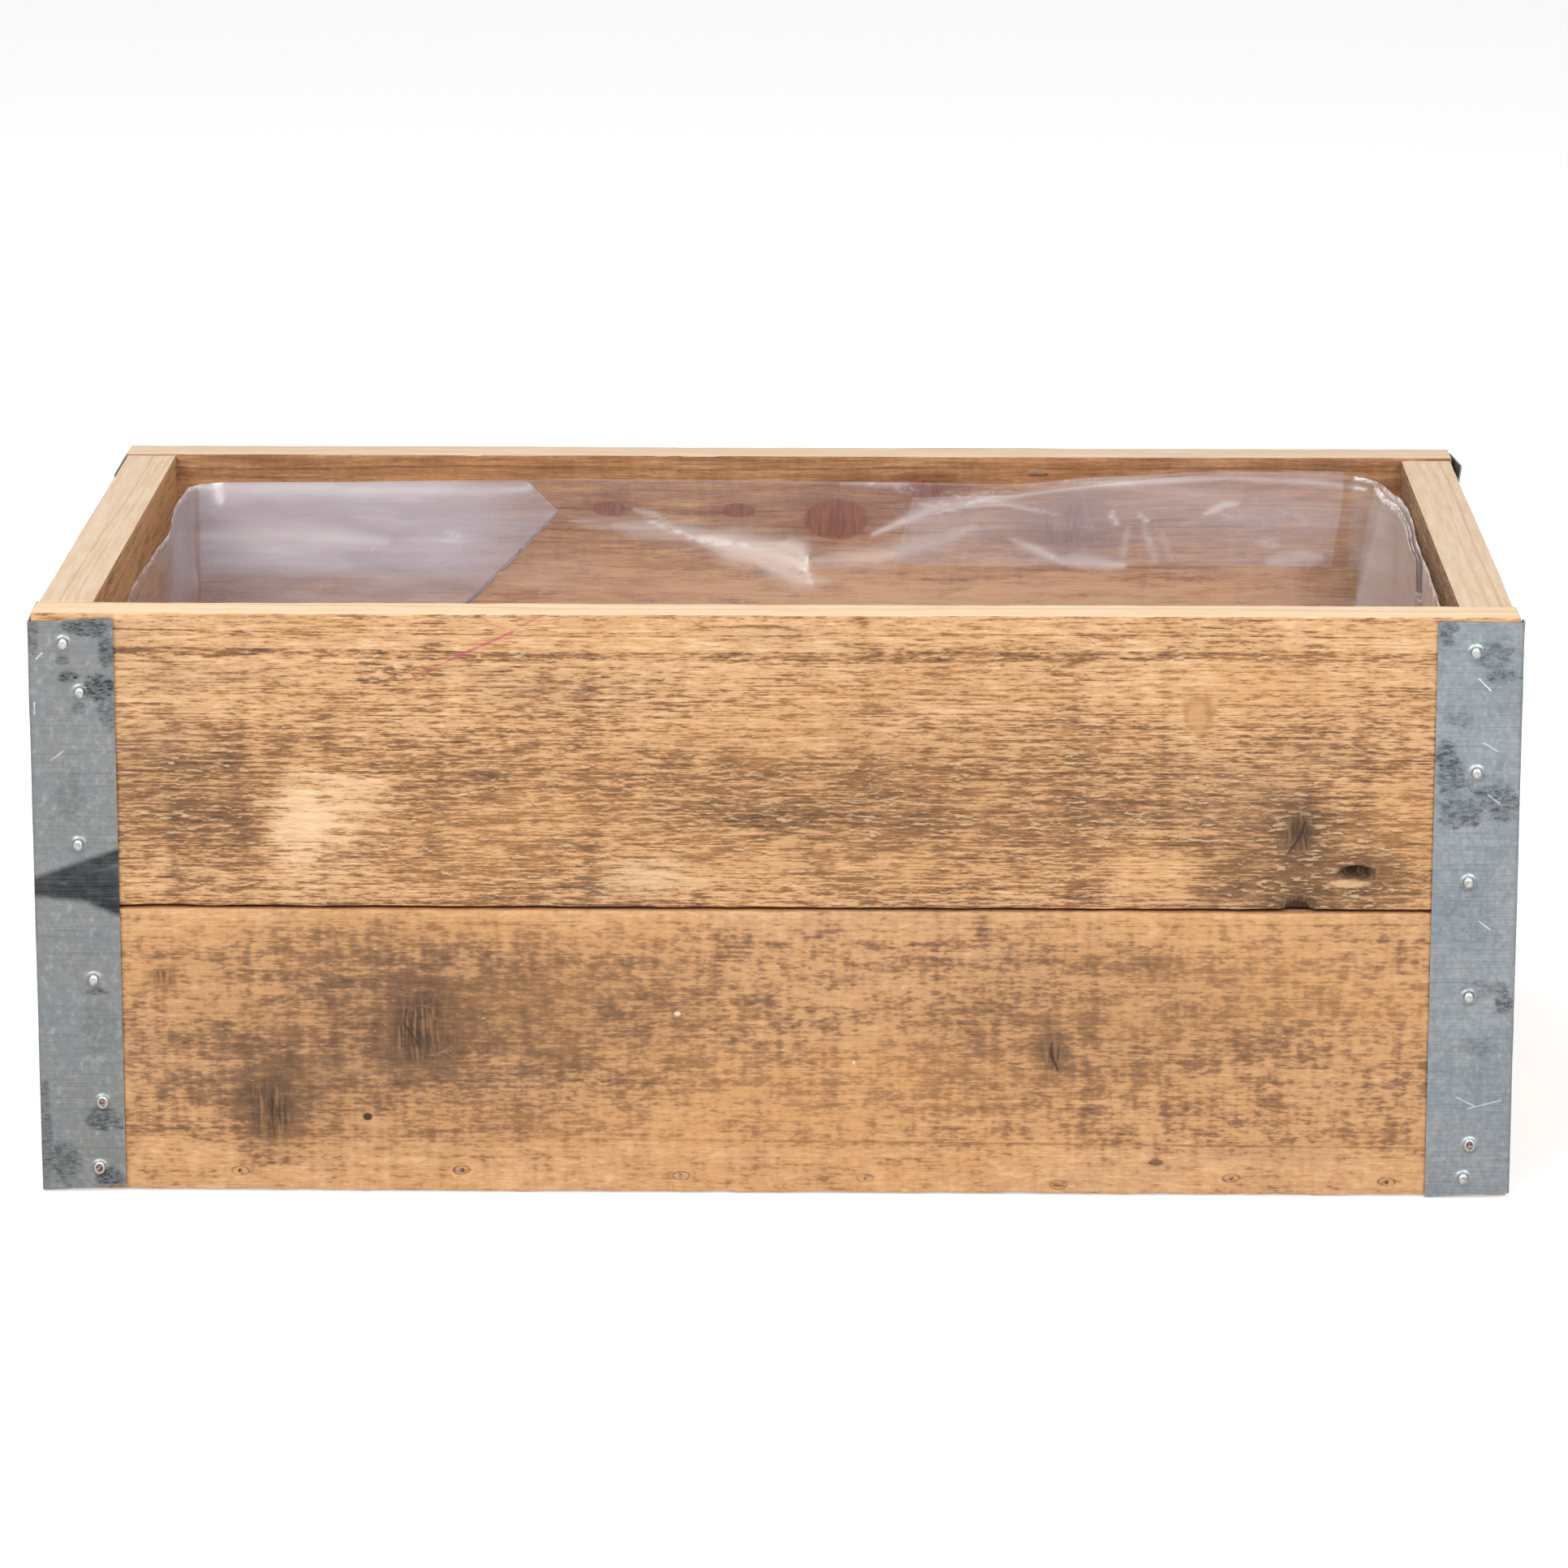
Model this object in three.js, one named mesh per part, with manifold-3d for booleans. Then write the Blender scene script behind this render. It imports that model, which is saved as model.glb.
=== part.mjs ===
// A wooden planter box: walls of two courses of reclaimed boards, nailed at the four corners through
// folded galvanised straps, a bottom of three loose boards, and a clear film liner stapled inside.
// Millimetres, +Z up, front towards -Y. The origin is on the ground under the middle of the box.

import * as THREE from "three";
import { mergeVertices } from "three/addons/utils/BufferGeometryUtils.js";
import Module from "manifold-3d";

// Plan of the wooden box
const LENGTH = 500;
const DEPTH = 300;

// Wall boards: the long ones run past the ends of the end boards. Each course has its own board
// width, and the upper board of the right end was cut a little narrow.
const LOWER_BOARD_WIDTH = 100.6;
const UPPER_BOARD_WIDTH = 102.1;
const LONG_BOARD_THICKNESS = 18;
const END_BOARD_THICKNESS = 19;
const END_BOARD_INSET = 0.5;
const END_BOARD_SHORTFALL = { left: 0.2, right: 1 };
const EDGE_EASE = 0.8;
const BUTT_GAP = 0.2;
const SEAM_GAP = 0.3;

// Bottom boards: they lie lengthwise between the walls, just clear of the ground
const BOTTOM_BOARDS = 3;
const BOTTOM_THICKNESS = 13;
const BOTTOM_LIFT = 1;
const DRAIN_GAP = 3;

// Clearance between pieces that rest on each other, and round each wire in its hole
const FIT = 0.3;

// Corner straps: a strip of sheet folded to an angle, with hand-cut ends
const STRAP_LEG = 28;
const STRAP_SHEET = 0.6;
const FOLD_RADIUS = 1.4;
const FOLD_STANDOFF = 0.9;
const SIDE_SEAT = 10;

// The side leg's upper corner springs away from the wall: how far at most, and over what height
const CORNER_SPLAY = 3.6;
const SPLAY_REACH = 16;

// Each strap's own shape: how far its skew-cut ends stay from the wall's edges, at the free edge of
// the front leg, at the fold and at the free edge of the side leg, and its share of the splay
const STRAP_SHAPES = {
  front_left: { topCut: [1.9, 3.3, 2.4], bottomCut: [2.3, 0.6, 1.6], splay: 0.1 },
  front_right: { topCut: [1.5, 1.9, 1.4], bottomCut: [0.5, 1.9, 0.8], splay: 1 },
  back_left: { topCut: [1.6, 2.2, 0.5], bottomCut: [1.8, 0.8, 1.4], splay: 1 },
  back_right: { topCut: [2.6, 1.8, 1], bottomCut: [0.6, 1.2, 2], splay: 0.5 },
};

// Strap nails, and where each strap was nailed by hand: on the front leg, how far from the corner
// and how high as a share of the wall's height, and on the side leg how high
const STRAP_NAIL = { length: 16, shank: 0.8, head: 1.7, dome: 0.7, point: 3 };
const SIDE_NAIL_INLAY = 21.5;
const WAVERING_NAILS = [
  { inlay: 19, height: 0.043 },
  { inlay: 20.6, height: 0.158 },
  { inlay: 18.6, height: 0.371 },
  { inlay: 14.5, height: 0.604 },
  { inlay: 16.3, height: 0.864 },
  { inlay: 11.1, height: 0.947 },
];
const STRAIGHT_NAILS = [
  { inlay: 15.1, height: 0.035 },
  { inlay: 13.2, height: 0.094 },
  { inlay: 14.7, height: 0.351 },
  { inlay: 15.8, height: 0.549 },
  { inlay: 13.9, height: 0.736 },
  { inlay: 15.2, height: 0.94 },
];
const STRAP_NAILING = {
  front_left: { faceNails: WAVERING_NAILS, sideHeights: [0.06, 0.34, 0.63, 0.87] },
  front_right: { faceNails: STRAIGHT_NAILS, sideHeights: [0.08, 0.31, 0.6, 0.85] },
  back_left: { faceNails: STRAIGHT_NAILS, sideHeights: [0.07, 0.36, 0.61, 0.86] },
  back_right: { faceNails: WAVERING_NAILS, sideHeights: [0.05, 0.32, 0.64, 0.87] },
};

// Brads through the walls into the bottom boards, with their small heads sunk in the wood. Along the
// long walls they were driven by eye: each one's place as a share of the half length, and its height.
const BRAD = { shank: 0.7, head: 1.1, dome: 0.4 };
const BRAD_SINK = 0.8;
const LONG_WALL_BRADS = [
  { along: -0.732, height: 7.3 },
  { along: -0.428, height: 8 },
  { along: -0.128, height: 6.3 },
  { along: 0.124, height: 5.8 },
  { along: 0.388, height: 3.6 },
  { along: 0.624, height: 6.3 },
  { along: 0.836, height: 5.3 },
];
const END_WALL_BRADS = 2;

// A dead knot that has fallen out of the front upper board, and a half knot on its lower edge
const KNOT_HOLES = [
  { fromRight: 54, aboveSeam: 13.5, width: 11, height: 5, depth: 6 },
  { fromRight: 73, aboveSeam: 0.5, width: 10, height: 7, depth: 4 },
];

// Film liner: a tray of film pressed into the box, with its spare corners folded flat
const FILM = 0.5;
const LINER_DROP = 11;
const EDGE_WAVE = 2.5;
const EDGE_WAVES_AROUND = { long: 3, short: 8 };
const LINER_CORNER = 16;
const LINER_FILLET = 10;
const LONG_STEPS = 12;
const SHORT_STEPS = 7;
const ARC_STEPS = 4;
const FILLET_STEPS = 3;
const FOLD_GAP = 0.3;
const FOLD_FILM = 0.4;
const GUSSET_REACH = 143;
const GUSSET_CLIP = 10.7;
const HEM_DEPTH = 31;
const HEM_START = 20;

// Staples: where each one stands along its wall, how far its wire is below the rim, and how many
// layers of film it holds. The film has torn free of the one on the back wall.
const STAPLE_CROWN = 7;
const STAPLE_LEG = 6;
const STAPLE_WIRE = 0.6;
const STAPLES = [
  { wall: "back", along: 0.41, drop: 6.6, layers: 0 },
  { wall: "front", along: -0.62, drop: 21, layers: 2 },
  { wall: "front", along: 0.58, drop: 22, layers: 2 },
];

// Sizes that follow from those above
const COURSE_WIDTHS = [LOWER_BOARD_WIDTH, UPPER_BOARD_WIDTH];
const TOP_COURSE = COURSE_WIDTHS.length - 1;
const COURSE_BASES = COURSE_WIDTHS.map((_, course) =>
  COURSE_WIDTHS.slice(0, course).reduce((base, width) => base + width + SEAM_GAP, 0),
);
const HEIGHT = COURSE_BASES[TOP_COURSE] + COURSE_WIDTHS[TOP_COURSE];
const INNER_X = LENGTH / 2 - END_BOARD_INSET - END_BOARD_THICKNESS;
const INNER_Y = DEPTH / 2 - LONG_BOARD_THICKNESS;
const BOTTOM_TOP = BOTTOM_LIFT + BOTTOM_THICKNESS;
const BOTTOM_WIDTH = (2 * (INNER_Y - BUTT_GAP) - DRAIN_GAP * (BOTTOM_BOARDS - 1)) / BOTTOM_BOARDS;
const LINER_TOP = HEIGHT - LINER_DROP;
const LINER_FLOOR = BOTTOM_TOP + FIT;
const STRAP_SEAT = FIT + STRAP_SHEET + FIT;

const CORNERS = {
  front_left: { x: -1, y: -1 },
  front_right: { x: 1, y: -1 },
  back_left: { x: -1, y: 1 },
  back_right: { x: 1, y: 1 },
};

const weatheredWood = new THREE.MeshStandardMaterial({ color: 0xb98a58, roughness: 0.85, metalness: 0 });
const innerWood = new THREE.MeshStandardMaterial({ color: 0x9c7148, roughness: 0.9, metalness: 0 });
const galvanised = new THREE.MeshStandardMaterial({ color: 0x8a969e, roughness: 0.38, metalness: 0.9 });
const brightSteel = new THREE.MeshStandardMaterial({ color: 0xb9bcc0, roughness: 0.3, metalness: 1 });
const clearFilm = new THREE.MeshStandardMaterial({
  color: 0xd9d2d6,
  roughness: 0.25,
  metalness: 0,
  transparent: true,
  opacity: 0.35,
});

const wasm = await Module();
wasm.setup();

// Solids and cuts

function signedVolume(geometry) {
  const position = geometry.attributes.position;
  const [a, b, c] = [new THREE.Vector3(), new THREE.Vector3(), new THREE.Vector3()];
  let volume = 0;
  for (let i = 0; i < geometry.index.count; i += 3) {
    a.fromBufferAttribute(position, geometry.index.getX(i));
    b.fromBufferAttribute(position, geometry.index.getX(i + 1));
    c.fromBufferAttribute(position, geometry.index.getX(i + 2));
    volume += a.dot(b.cross(c)) / 6;
  }
  return volume;
}

// The same surface with shared vertices, no slivers without area, and its faces pointing out
function closed(geometry) {
  const bare = geometry.clone();
  for (const name of Object.keys(bare.attributes)) if (name !== "position") bare.deleteAttribute(name);
  const merged = mergeVertices(bare, 1e-4);
  const kept = [];
  for (let i = 0; i < merged.index.count; i += 3) {
    const [a, b, c] = [0, 1, 2].map((k) => merged.index.getX(i + k));
    if (a !== b && b !== c && c !== a) kept.push(a, b, c);
  }
  merged.setIndex(kept);
  if (signedVolume(merged) < 0) merged.setIndex(kept.reverse());
  merged.computeVertexNormals();
  return merged;
}

function solidOf(geometry) {
  const surface = closed(geometry);
  return new wasm.Manifold(
    new wasm.Mesh({
      numProp: 3,
      vertProperties: surface.attributes.position.array,
      triVerts: Uint32Array.from(surface.index.array),
    }),
  );
}

function geometryOf(solid) {
  const mesh = solid.getMesh();
  const geometry = new THREE.BufferGeometry();
  geometry.setAttribute("position", new THREE.BufferAttribute(Float32Array.from(mesh.vertProperties), 3));
  geometry.setIndex(new THREE.BufferAttribute(Uint32Array.from(mesh.triVerts), 1));
  geometry.computeVertexNormals();
  return geometry;
}

function joined(geometries) {
  const [first, ...others] = geometries.map(solidOf);
  return geometryOf(others.reduce((whole, piece) => whole.add(piece), first));
}

// Takes away from a mesh every cutter that reaches it; cutters are in the box's own frame
function drill(mesh, cutters) {
  const reach = new THREE.Box3().setFromBufferAttribute(mesh.geometry.attributes.position);
  reach.translate(mesh.position);
  let solid = solidOf(mesh.geometry);
  for (const cutter of cutters) {
    if (!new THREE.Box3().setFromBufferAttribute(cutter.attributes.position).intersectsBox(reach)) continue;
    const local = cutter.clone().translate(-mesh.position.x, -mesh.position.y, -mesh.position.z);
    solid = solid.subtract(solidOf(local));
  }
  mesh.geometry = geometryOf(solid);
  return mesh;
}

function piece(name, geometry, material, position = [0, 0, 0]) {
  const mesh = new THREE.Mesh(geometry, material);
  mesh.name = name;
  mesh.position.set(...position);
  return mesh;
}

// A closed thin shape from two faces given as functions of row and column
function thinSolid(rows, columns, outerFace, innerFace) {
  const positions = [];
  for (const face of [outerFace, innerFace]) {
    for (let row = 0; row <= rows; row++) {
      for (let column = 0; column <= columns; column++) positions.push(...face(row, column));
    }
  }
  const perFace = (rows + 1) * (columns + 1);
  const at = (face, row, column) => face * perFace + row * (columns + 1) + column;
  const index = [];
  const quad = (a, b, c, d) => index.push(a, b, c, a, c, d);
  for (let row = 0; row < rows; row++) {
    for (let column = 0; column < columns; column++) {
      quad(at(0, row, column), at(0, row, column + 1), at(0, row + 1, column + 1), at(0, row + 1, column));
      quad(at(1, row, column), at(1, row + 1, column), at(1, row + 1, column + 1), at(1, row, column + 1));
    }
    quad(at(0, row, 0), at(0, row + 1, 0), at(1, row + 1, 0), at(1, row, 0));
    quad(at(0, row + 1, columns), at(0, row, columns), at(1, row, columns), at(1, row + 1, columns));
  }
  for (let column = 0; column < columns; column++) {
    quad(at(0, 0, column + 1), at(0, 0, column), at(1, 0, column), at(1, 0, column + 1));
    quad(at(0, rows, column), at(0, rows, column + 1), at(1, rows, column + 1), at(1, rows, column));
  }
  const geometry = new THREE.BufferGeometry();
  geometry.setAttribute("position", new THREE.Float32BufferAttribute(positions, 3));
  geometry.setIndex(index);
  return closed(geometry);
}

// Boards

// A sawn board with eased edges, centred on its own middle, its length along X or Y
function boardGeometry(length, thickness, width, axis = "x") {
  const t = thickness / 2;
  const w = width / 2;
  const section = new THREE.Shape();
  section.moveTo(-t + EDGE_EASE, -w);
  section.lineTo(t - EDGE_EASE, -w);
  section.lineTo(t, -w + EDGE_EASE);
  section.lineTo(t, w - EDGE_EASE);
  section.lineTo(t - EDGE_EASE, w);
  section.lineTo(-t + EDGE_EASE, w);
  section.lineTo(-t, w - EDGE_EASE);
  section.lineTo(-t, -w + EDGE_EASE);
  section.closePath();
  const geometry = new THREE.ExtrudeGeometry(section, { depth: length, bevelEnabled: false });
  geometry.translate(0, 0, -length / 2);
  const turn = new THREE.Matrix4();
  const up = new THREE.Vector3(0, 0, 1);
  if (axis === "x") turn.makeBasis(new THREE.Vector3(0, 1, 0), up, new THREE.Vector3(1, 0, 0));
  else turn.makeBasis(new THREE.Vector3(-1, 0, 0), up, new THREE.Vector3(0, 1, 0));
  return closed(geometry.applyMatrix4(turn));
}

function levelName(course) {
  if (course === 0) return "lower";
  return course === TOP_COURSE ? "upper" : `middle_${course}`;
}

function longBoard(side, sign, course) {
  const width = COURSE_WIDTHS[course];
  const geometry = boardGeometry(LENGTH, LONG_BOARD_THICKNESS, width);
  const y = (sign * (DEPTH - LONG_BOARD_THICKNESS)) / 2;
  const place = [0, y, COURSE_BASES[course] + width / 2];
  return piece(`${side}_board_${levelName(course)}`, geometry, weatheredWood, place);
}

function endBoard(side, sign, course) {
  const shortfall = course === TOP_COURSE ? END_BOARD_SHORTFALL[side] : 0;
  const width = COURSE_WIDTHS[course] - shortfall;
  const length = 2 * (INNER_Y - BUTT_GAP);
  const geometry = boardGeometry(length, END_BOARD_THICKNESS, width, "y");
  const x = sign * (LENGTH / 2 - END_BOARD_INSET - END_BOARD_THICKNESS / 2);
  const place = [x, 0, COURSE_BASES[course] + width / 2];
  return piece(`${side}_end_board_${levelName(course)}`, geometry, innerWood, place);
}

function wallBoards() {
  return COURSE_WIDTHS.flatMap((_, course) => [
    longBoard("front", -1, course),
    longBoard("back", 1, course),
    endBoard("left", -1, course),
    endBoard("right", 1, course),
  ]);
}

// A dish sunk into the front face of the top board where a knot has dropped out
function knotCutter({ fromRight, aboveSeam, width, height, depth }) {
  const dish = new THREE.SphereGeometry(1, 12, 8);
  dish.scale(width / 2, depth, height / 2);
  const place = [LENGTH / 2 - fromRight, -DEPTH / 2, COURSE_BASES[TOP_COURSE] + aboveSeam];
  return closed(dish.translate(...place));
}

// Nails, brads and staples

// A wire nail standing on its point along -Z, its head's underside at the origin
function nailGeometry({ length, shank, head, dome, point = 0 }, sides = 8) {
  const profile = [
    [0, -length],
    [shank, -length + point],
    [shank, 0],
    [head, 0],
    [head * 0.94, dome * 0.4],
    [head * 0.6, dome * 0.85],
    [0, dome],
  ].map(([radius, height]) => new THREE.Vector2(radius, height));
  return closed(new THREE.LatheGeometry(profile, sides).rotateX(Math.PI / 2));
}

// The hole for a nail, open above its head; a sunk head gets its own recess
function nailHole({ length, shank, head, dome }, sink, sides = 8) {
  const mouth = dome + sink + STRAP_SEAT;
  const outline = [[0, -length - FIT], [shank + FIT, -length - FIT]];
  if (sink > 0) outline.push([shank + FIT, -FIT], [head + FIT, -FIT], [head + FIT, mouth]);
  else outline.push([shank + FIT, mouth]);
  outline.push([0, mouth]);
  const profile = outline.map(([radius, height]) => new THREE.Vector2(radius, height));
  return closed(new THREE.LatheGeometry(profile, sides).rotateX(Math.PI / 2));
}

// Turns a fastener that stands along -Z to a drive direction and moves it to its place
function driven(geometry, { point, direction }) {
  const turn = new THREE.Quaternion().setFromUnitVectors(new THREE.Vector3(0, 0, -1), direction);
  return closed(geometry.clone().applyQuaternion(turn).translate(...point));
}

function strapNails() {
  const nails = [];
  for (const [corner, sign] of Object.entries(CORNERS)) {
    const { faceNails, sideHeights } = STRAP_NAILING[corner];
    faceNails.forEach(({ inlay, height }, number) => {
      const x = sign.x * (LENGTH / 2 - inlay);
      nails.push({
        name: `${corner}_strap_nail_${number + 1}`,
        point: [x, sign.y * (DEPTH / 2 + STRAP_SEAT), height * HEIGHT],
        direction: new THREE.Vector3(0, -sign.y, 0),
      });
    });
    sideHeights.forEach((height, number) => {
      const y = sign.y * (DEPTH / 2 - SIDE_NAIL_INLAY);
      nails.push({
        name: `${corner}_side_nail_${number + 1}`,
        point: [sign.x * (LENGTH / 2 + STRAP_SEAT), y, height * HEIGHT],
        direction: new THREE.Vector3(-sign.x, 0, 0),
      });
    });
  }
  return nails;
}

// A brad's length as far as it shows: from its sunk head through the wall and just into the board
function bradLength(wallThickness) {
  return wallThickness - BRAD_SINK + BUTT_GAP + EDGE_EASE;
}

// Brads of one bottom board: through its ends, and through a long wall if it lies along one
function bradsOf(boardNumber) {
  const brads = [];
  const endBrad = { ...BRAD, length: bradLength(END_BOARD_THICKNESS) };
  const longBrad = { ...BRAD, length: bradLength(LONG_BOARD_THICKNESS) };
  const boardY = bottomBoardY(boardNumber);
  const headX = LENGTH / 2 - END_BOARD_INSET - BRAD_SINK;
  const middle = BOTTOM_LIFT + BOTTOM_THICKNESS / 2;
  for (const sign of [-1, 1]) {
    for (let number = 0; number < END_WALL_BRADS; number++) {
      const across = ((number + 0.5) / END_WALL_BRADS - 0.5) * BOTTOM_WIDTH;
      const point = [sign * headX, boardY + across, middle];
      brads.push({ kind: endBrad, point, direction: new THREE.Vector3(-sign, 0, 0) });
    }
  }
  const side = boardNumber === 0 ? -1 : boardNumber === BOTTOM_BOARDS - 1 ? 1 : 0;
  if (side === 0) return brads;
  for (const { along, height } of LONG_WALL_BRADS) {
    const x = (-side * along * LENGTH) / 2;
    const point = [x, side * (DEPTH / 2 - BRAD_SINK), height];
    brads.push({ kind: longBrad, point, direction: new THREE.Vector3(0, -side, 0) });
  }
  return brads;
}

function bottomBoardY(number) {
  return -INNER_Y + BUTT_GAP + BOTTOM_WIDTH / 2 + number * (BOTTOM_WIDTH + DRAIN_GAP);
}

// A bottom board with the brads that hold it
function bottomBoard(number) {
  const length = 2 * (INNER_X - BUTT_GAP);
  const board = boardGeometry(length, BOTTOM_WIDTH, BOTTOM_THICKNESS);
  const place = [0, bottomBoardY(number), BOTTOM_LIFT + BOTTOM_THICKNESS / 2];
  const brads = bradsOf(number).map((brad) => driven(nailGeometry(brad.kind, 6), brad));
  const local = brads.map((brad) => brad.translate(-place[0], -place[1], -place[2]));
  return piece(`bottom_board_${number + 1}`, joined([board, ...local]), innerWood, place);
}

// A point on the inner side of a wall: along it, in from its face, and up
function wallPoint(wall, along, inward, z) {
  if (wall === "back") return [along, INNER_Y - inward, z];
  if (wall === "front") return [along, -INNER_Y + inward, z];
  if (wall === "right") return [INNER_X - inward, along, z];
  return [-INNER_X + inward, along, z];
}

function halfLength(wall) {
  return wall === "back" || wall === "front" ? INNER_X : INNER_Y;
}

// How far in from the wall the given number of film layers reaches
function filmDepth(layers) {
  return layers === 0 ? 0 : FIT + FILM + (layers - 1) * (FOLD_GAP + FOLD_FILM);
}

// A staple's crown and legs as one bent wire, or the slots that its legs need
function stapleParts({ wall, along, drop, layers }, slack) {
  const middle = along * halfLength(wall);
  const z = HEIGHT - drop;
  const crownBack = filmDepth(layers) + FIT;
  const box = (from, to, deep, shallow) => {
    const [x0, y0] = wallPoint(wall, from, deep, z);
    const [x1, y1] = wallPoint(wall, to, shallow, z);
    const size = [Math.abs(x1 - x0), Math.abs(y1 - y0), STAPLE_WIRE + 2 * slack];
    return closed(new THREE.BoxGeometry(...size).translate((x0 + x1) / 2, (y0 + y1) / 2, z));
  };
  const half = STAPLE_CROWN / 2;
  const tip = -STAPLE_LEG - slack;
  const left = box(middle - half - slack, middle - half + STAPLE_WIRE + slack, tip, crownBack + slack);
  const right = box(middle + half - STAPLE_WIRE - slack, middle + half + slack, tip, crownBack + slack);
  const crown = box(middle - half, middle + half, crownBack - slack, crownBack + STAPLE_WIRE);
  return { left, right, crown };
}

function staple(place, number) {
  const { left, right, crown } = stapleParts(place, 0);
  return piece(`liner_staple_${number + 1}`, joined([crown, left, right]), brightSteel);
}

// Corner straps

// The strap's inner face in plan, from the free edge of the front leg round the fold to that of the
// side leg. u runs from the corner along the long board, v along the end wall, and place from -1 at
// the front leg's free edge through 0 at the fold to 1 at the side leg's.
function strapPlan() {
  const plan = [];
  const foldSteps = 4;
  const foldU = -FOLD_STANDOFF + FOLD_RADIUS;
  const foldV = -FIT + FOLD_RADIUS;
  for (const share of [1, 0.5]) plan.push({ u: STRAP_LEG * share, v: -FIT, nu: 0, nv: -1, place: -share });
  for (let step = 0; step <= foldSteps; step++) {
    const angle = (step / foldSteps) * (Math.PI / 2);
    const [nu, nv] = [-Math.sin(angle), -Math.cos(angle)];
    plan.push({ u: foldU + FOLD_RADIUS * nu, v: foldV + FOLD_RADIUS * nv, nu, nv, place: 0 });
  }
  for (const v of [SIDE_SEAT, (SIDE_SEAT + STRAP_LEG) / 2, STRAP_LEG]) {
    plan.push({ u: -FIT, v, nu: -1, nv: 0, place: v / STRAP_LEG });
  }
  return plan;
}

function skewCut([atFrontEdge, atFold, atSideEdge], place) {
  return THREE.MathUtils.lerp(atFold, place < 0 ? atFrontEdge : atSideEdge, Math.abs(place));
}

function strap(corner) {
  const sign = CORNERS[corner];
  const { topCut, bottomCut, splay } = STRAP_SHAPES[corner];
  const plan = strapPlan();
  const splayBase = HEIGHT - Math.max(...topCut) - SPLAY_REACH;
  const levels = [0, 0.5, 1].map((share) => share * splayBase);
  const splayRows = 3;
  const rows = levels.length - 1 + splayRows;
  const face = (offset) => (row, column) => {
    const { u, v, nu, nv, place } = plan[column];
    const bottom = skewCut(bottomCut, place);
    const top = HEIGHT - skewCut(topCut, place);
    const raised = Math.max(0, row - levels.length + 1) / splayRows;
    const level = row < levels.length ? levels[row] : THREE.MathUtils.lerp(splayBase, top, raised);
    const sprung = CORNER_SPLAY * splay * raised ** 1.5 * Math.max(0, place);
    const du = u + nu * (offset + sprung);
    const dv = v + nv * offset;
    return [-sign.x * du, -sign.y * dv, Math.max(bottom, level)];
  };
  const geometry = thinSolid(rows, plan.length - 1, face(STRAP_SHEET), face(0));
  const place = [(sign.x * LENGTH) / 2, (sign.y * DEPTH) / 2, 0];
  return piece(`${corner}_strap`, geometry, galvanised, place);
}

// Film liner

// The liner's outline in plan: a rounded rectangle, with the outward direction at each point
function linerPlan() {
  const outline = [];
  const halfX = INNER_X - FIT;
  const halfY = INNER_Y - FIT;
  const turns = [
    { x: 1, y: -1, from: -Math.PI / 2 },
    { x: 1, y: 1, from: 0 },
    { x: -1, y: 1, from: Math.PI / 2 },
    { x: -1, y: -1, from: Math.PI },
  ];
  turns.forEach((turn, number) => {
    const centreX = turn.x * (halfX - LINER_CORNER);
    const centreY = turn.y * (halfY - LINER_CORNER);
    for (let step = 0; step <= ARC_STEPS; step++) {
      const angle = turn.from + (step / ARC_STEPS) * (Math.PI / 2);
      const [nx, ny] = [Math.cos(angle), Math.sin(angle)];
      outline.push({ x: centreX + LINER_CORNER * nx, y: centreY + LINER_CORNER * ny, nx, ny });
    }
    const last = outline[outline.length - 1];
    const next = turns[(number + 1) % turns.length];
    const endX = next.x * (halfX - LINER_CORNER) + LINER_CORNER * last.nx;
    const endY = next.y * (halfY - LINER_CORNER) + LINER_CORNER * last.ny;
    const steps = number % 2 === 0 ? SHORT_STEPS : LONG_STEPS;
    for (let step = 1; step < steps; step++) {
      const share = step / steps;
      const x = THREE.MathUtils.lerp(last.x, Math.abs(last.nx) > 0.5 ? last.x : endX, share);
      const y = THREE.MathUtils.lerp(last.y, Math.abs(last.nx) > 0.5 ? endY : last.y, share);
      outline.push({ x, y, nx: last.nx, ny: last.ny });
    }
  });
  return outline;
}

// The liner's profile at one wall: how far in and how high each row is, on its outer or inner face
function linerProfile(top, inset) {
  const profile = [];
  const radius = LINER_FILLET - inset;
  const centre = LINER_FLOOR + LINER_FILLET;
  for (let step = 0; step <= FILLET_STEPS; step++) {
    const angle = (step / FILLET_STEPS) * (Math.PI / 2);
    profile.push([LINER_FILLET - radius * Math.sin(angle), centre - radius * Math.cos(angle)]);
  }
  profile.push([inset, (centre + LINER_TOP) / 2], [inset, top]);
  return profile;
}

// How high the film's cut edge runs, at a share of the way round: a long wave with a short one on it
function linerEdge(share) {
  const turn = 2 * Math.PI * share;
  const long = Math.sin(EDGE_WAVES_AROUND.long * turn);
  const short = Math.cos(EDGE_WAVES_AROUND.short * turn);
  return LINER_TOP + EDGE_WAVE * (0.6 * long + 0.4 * short);
}

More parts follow.
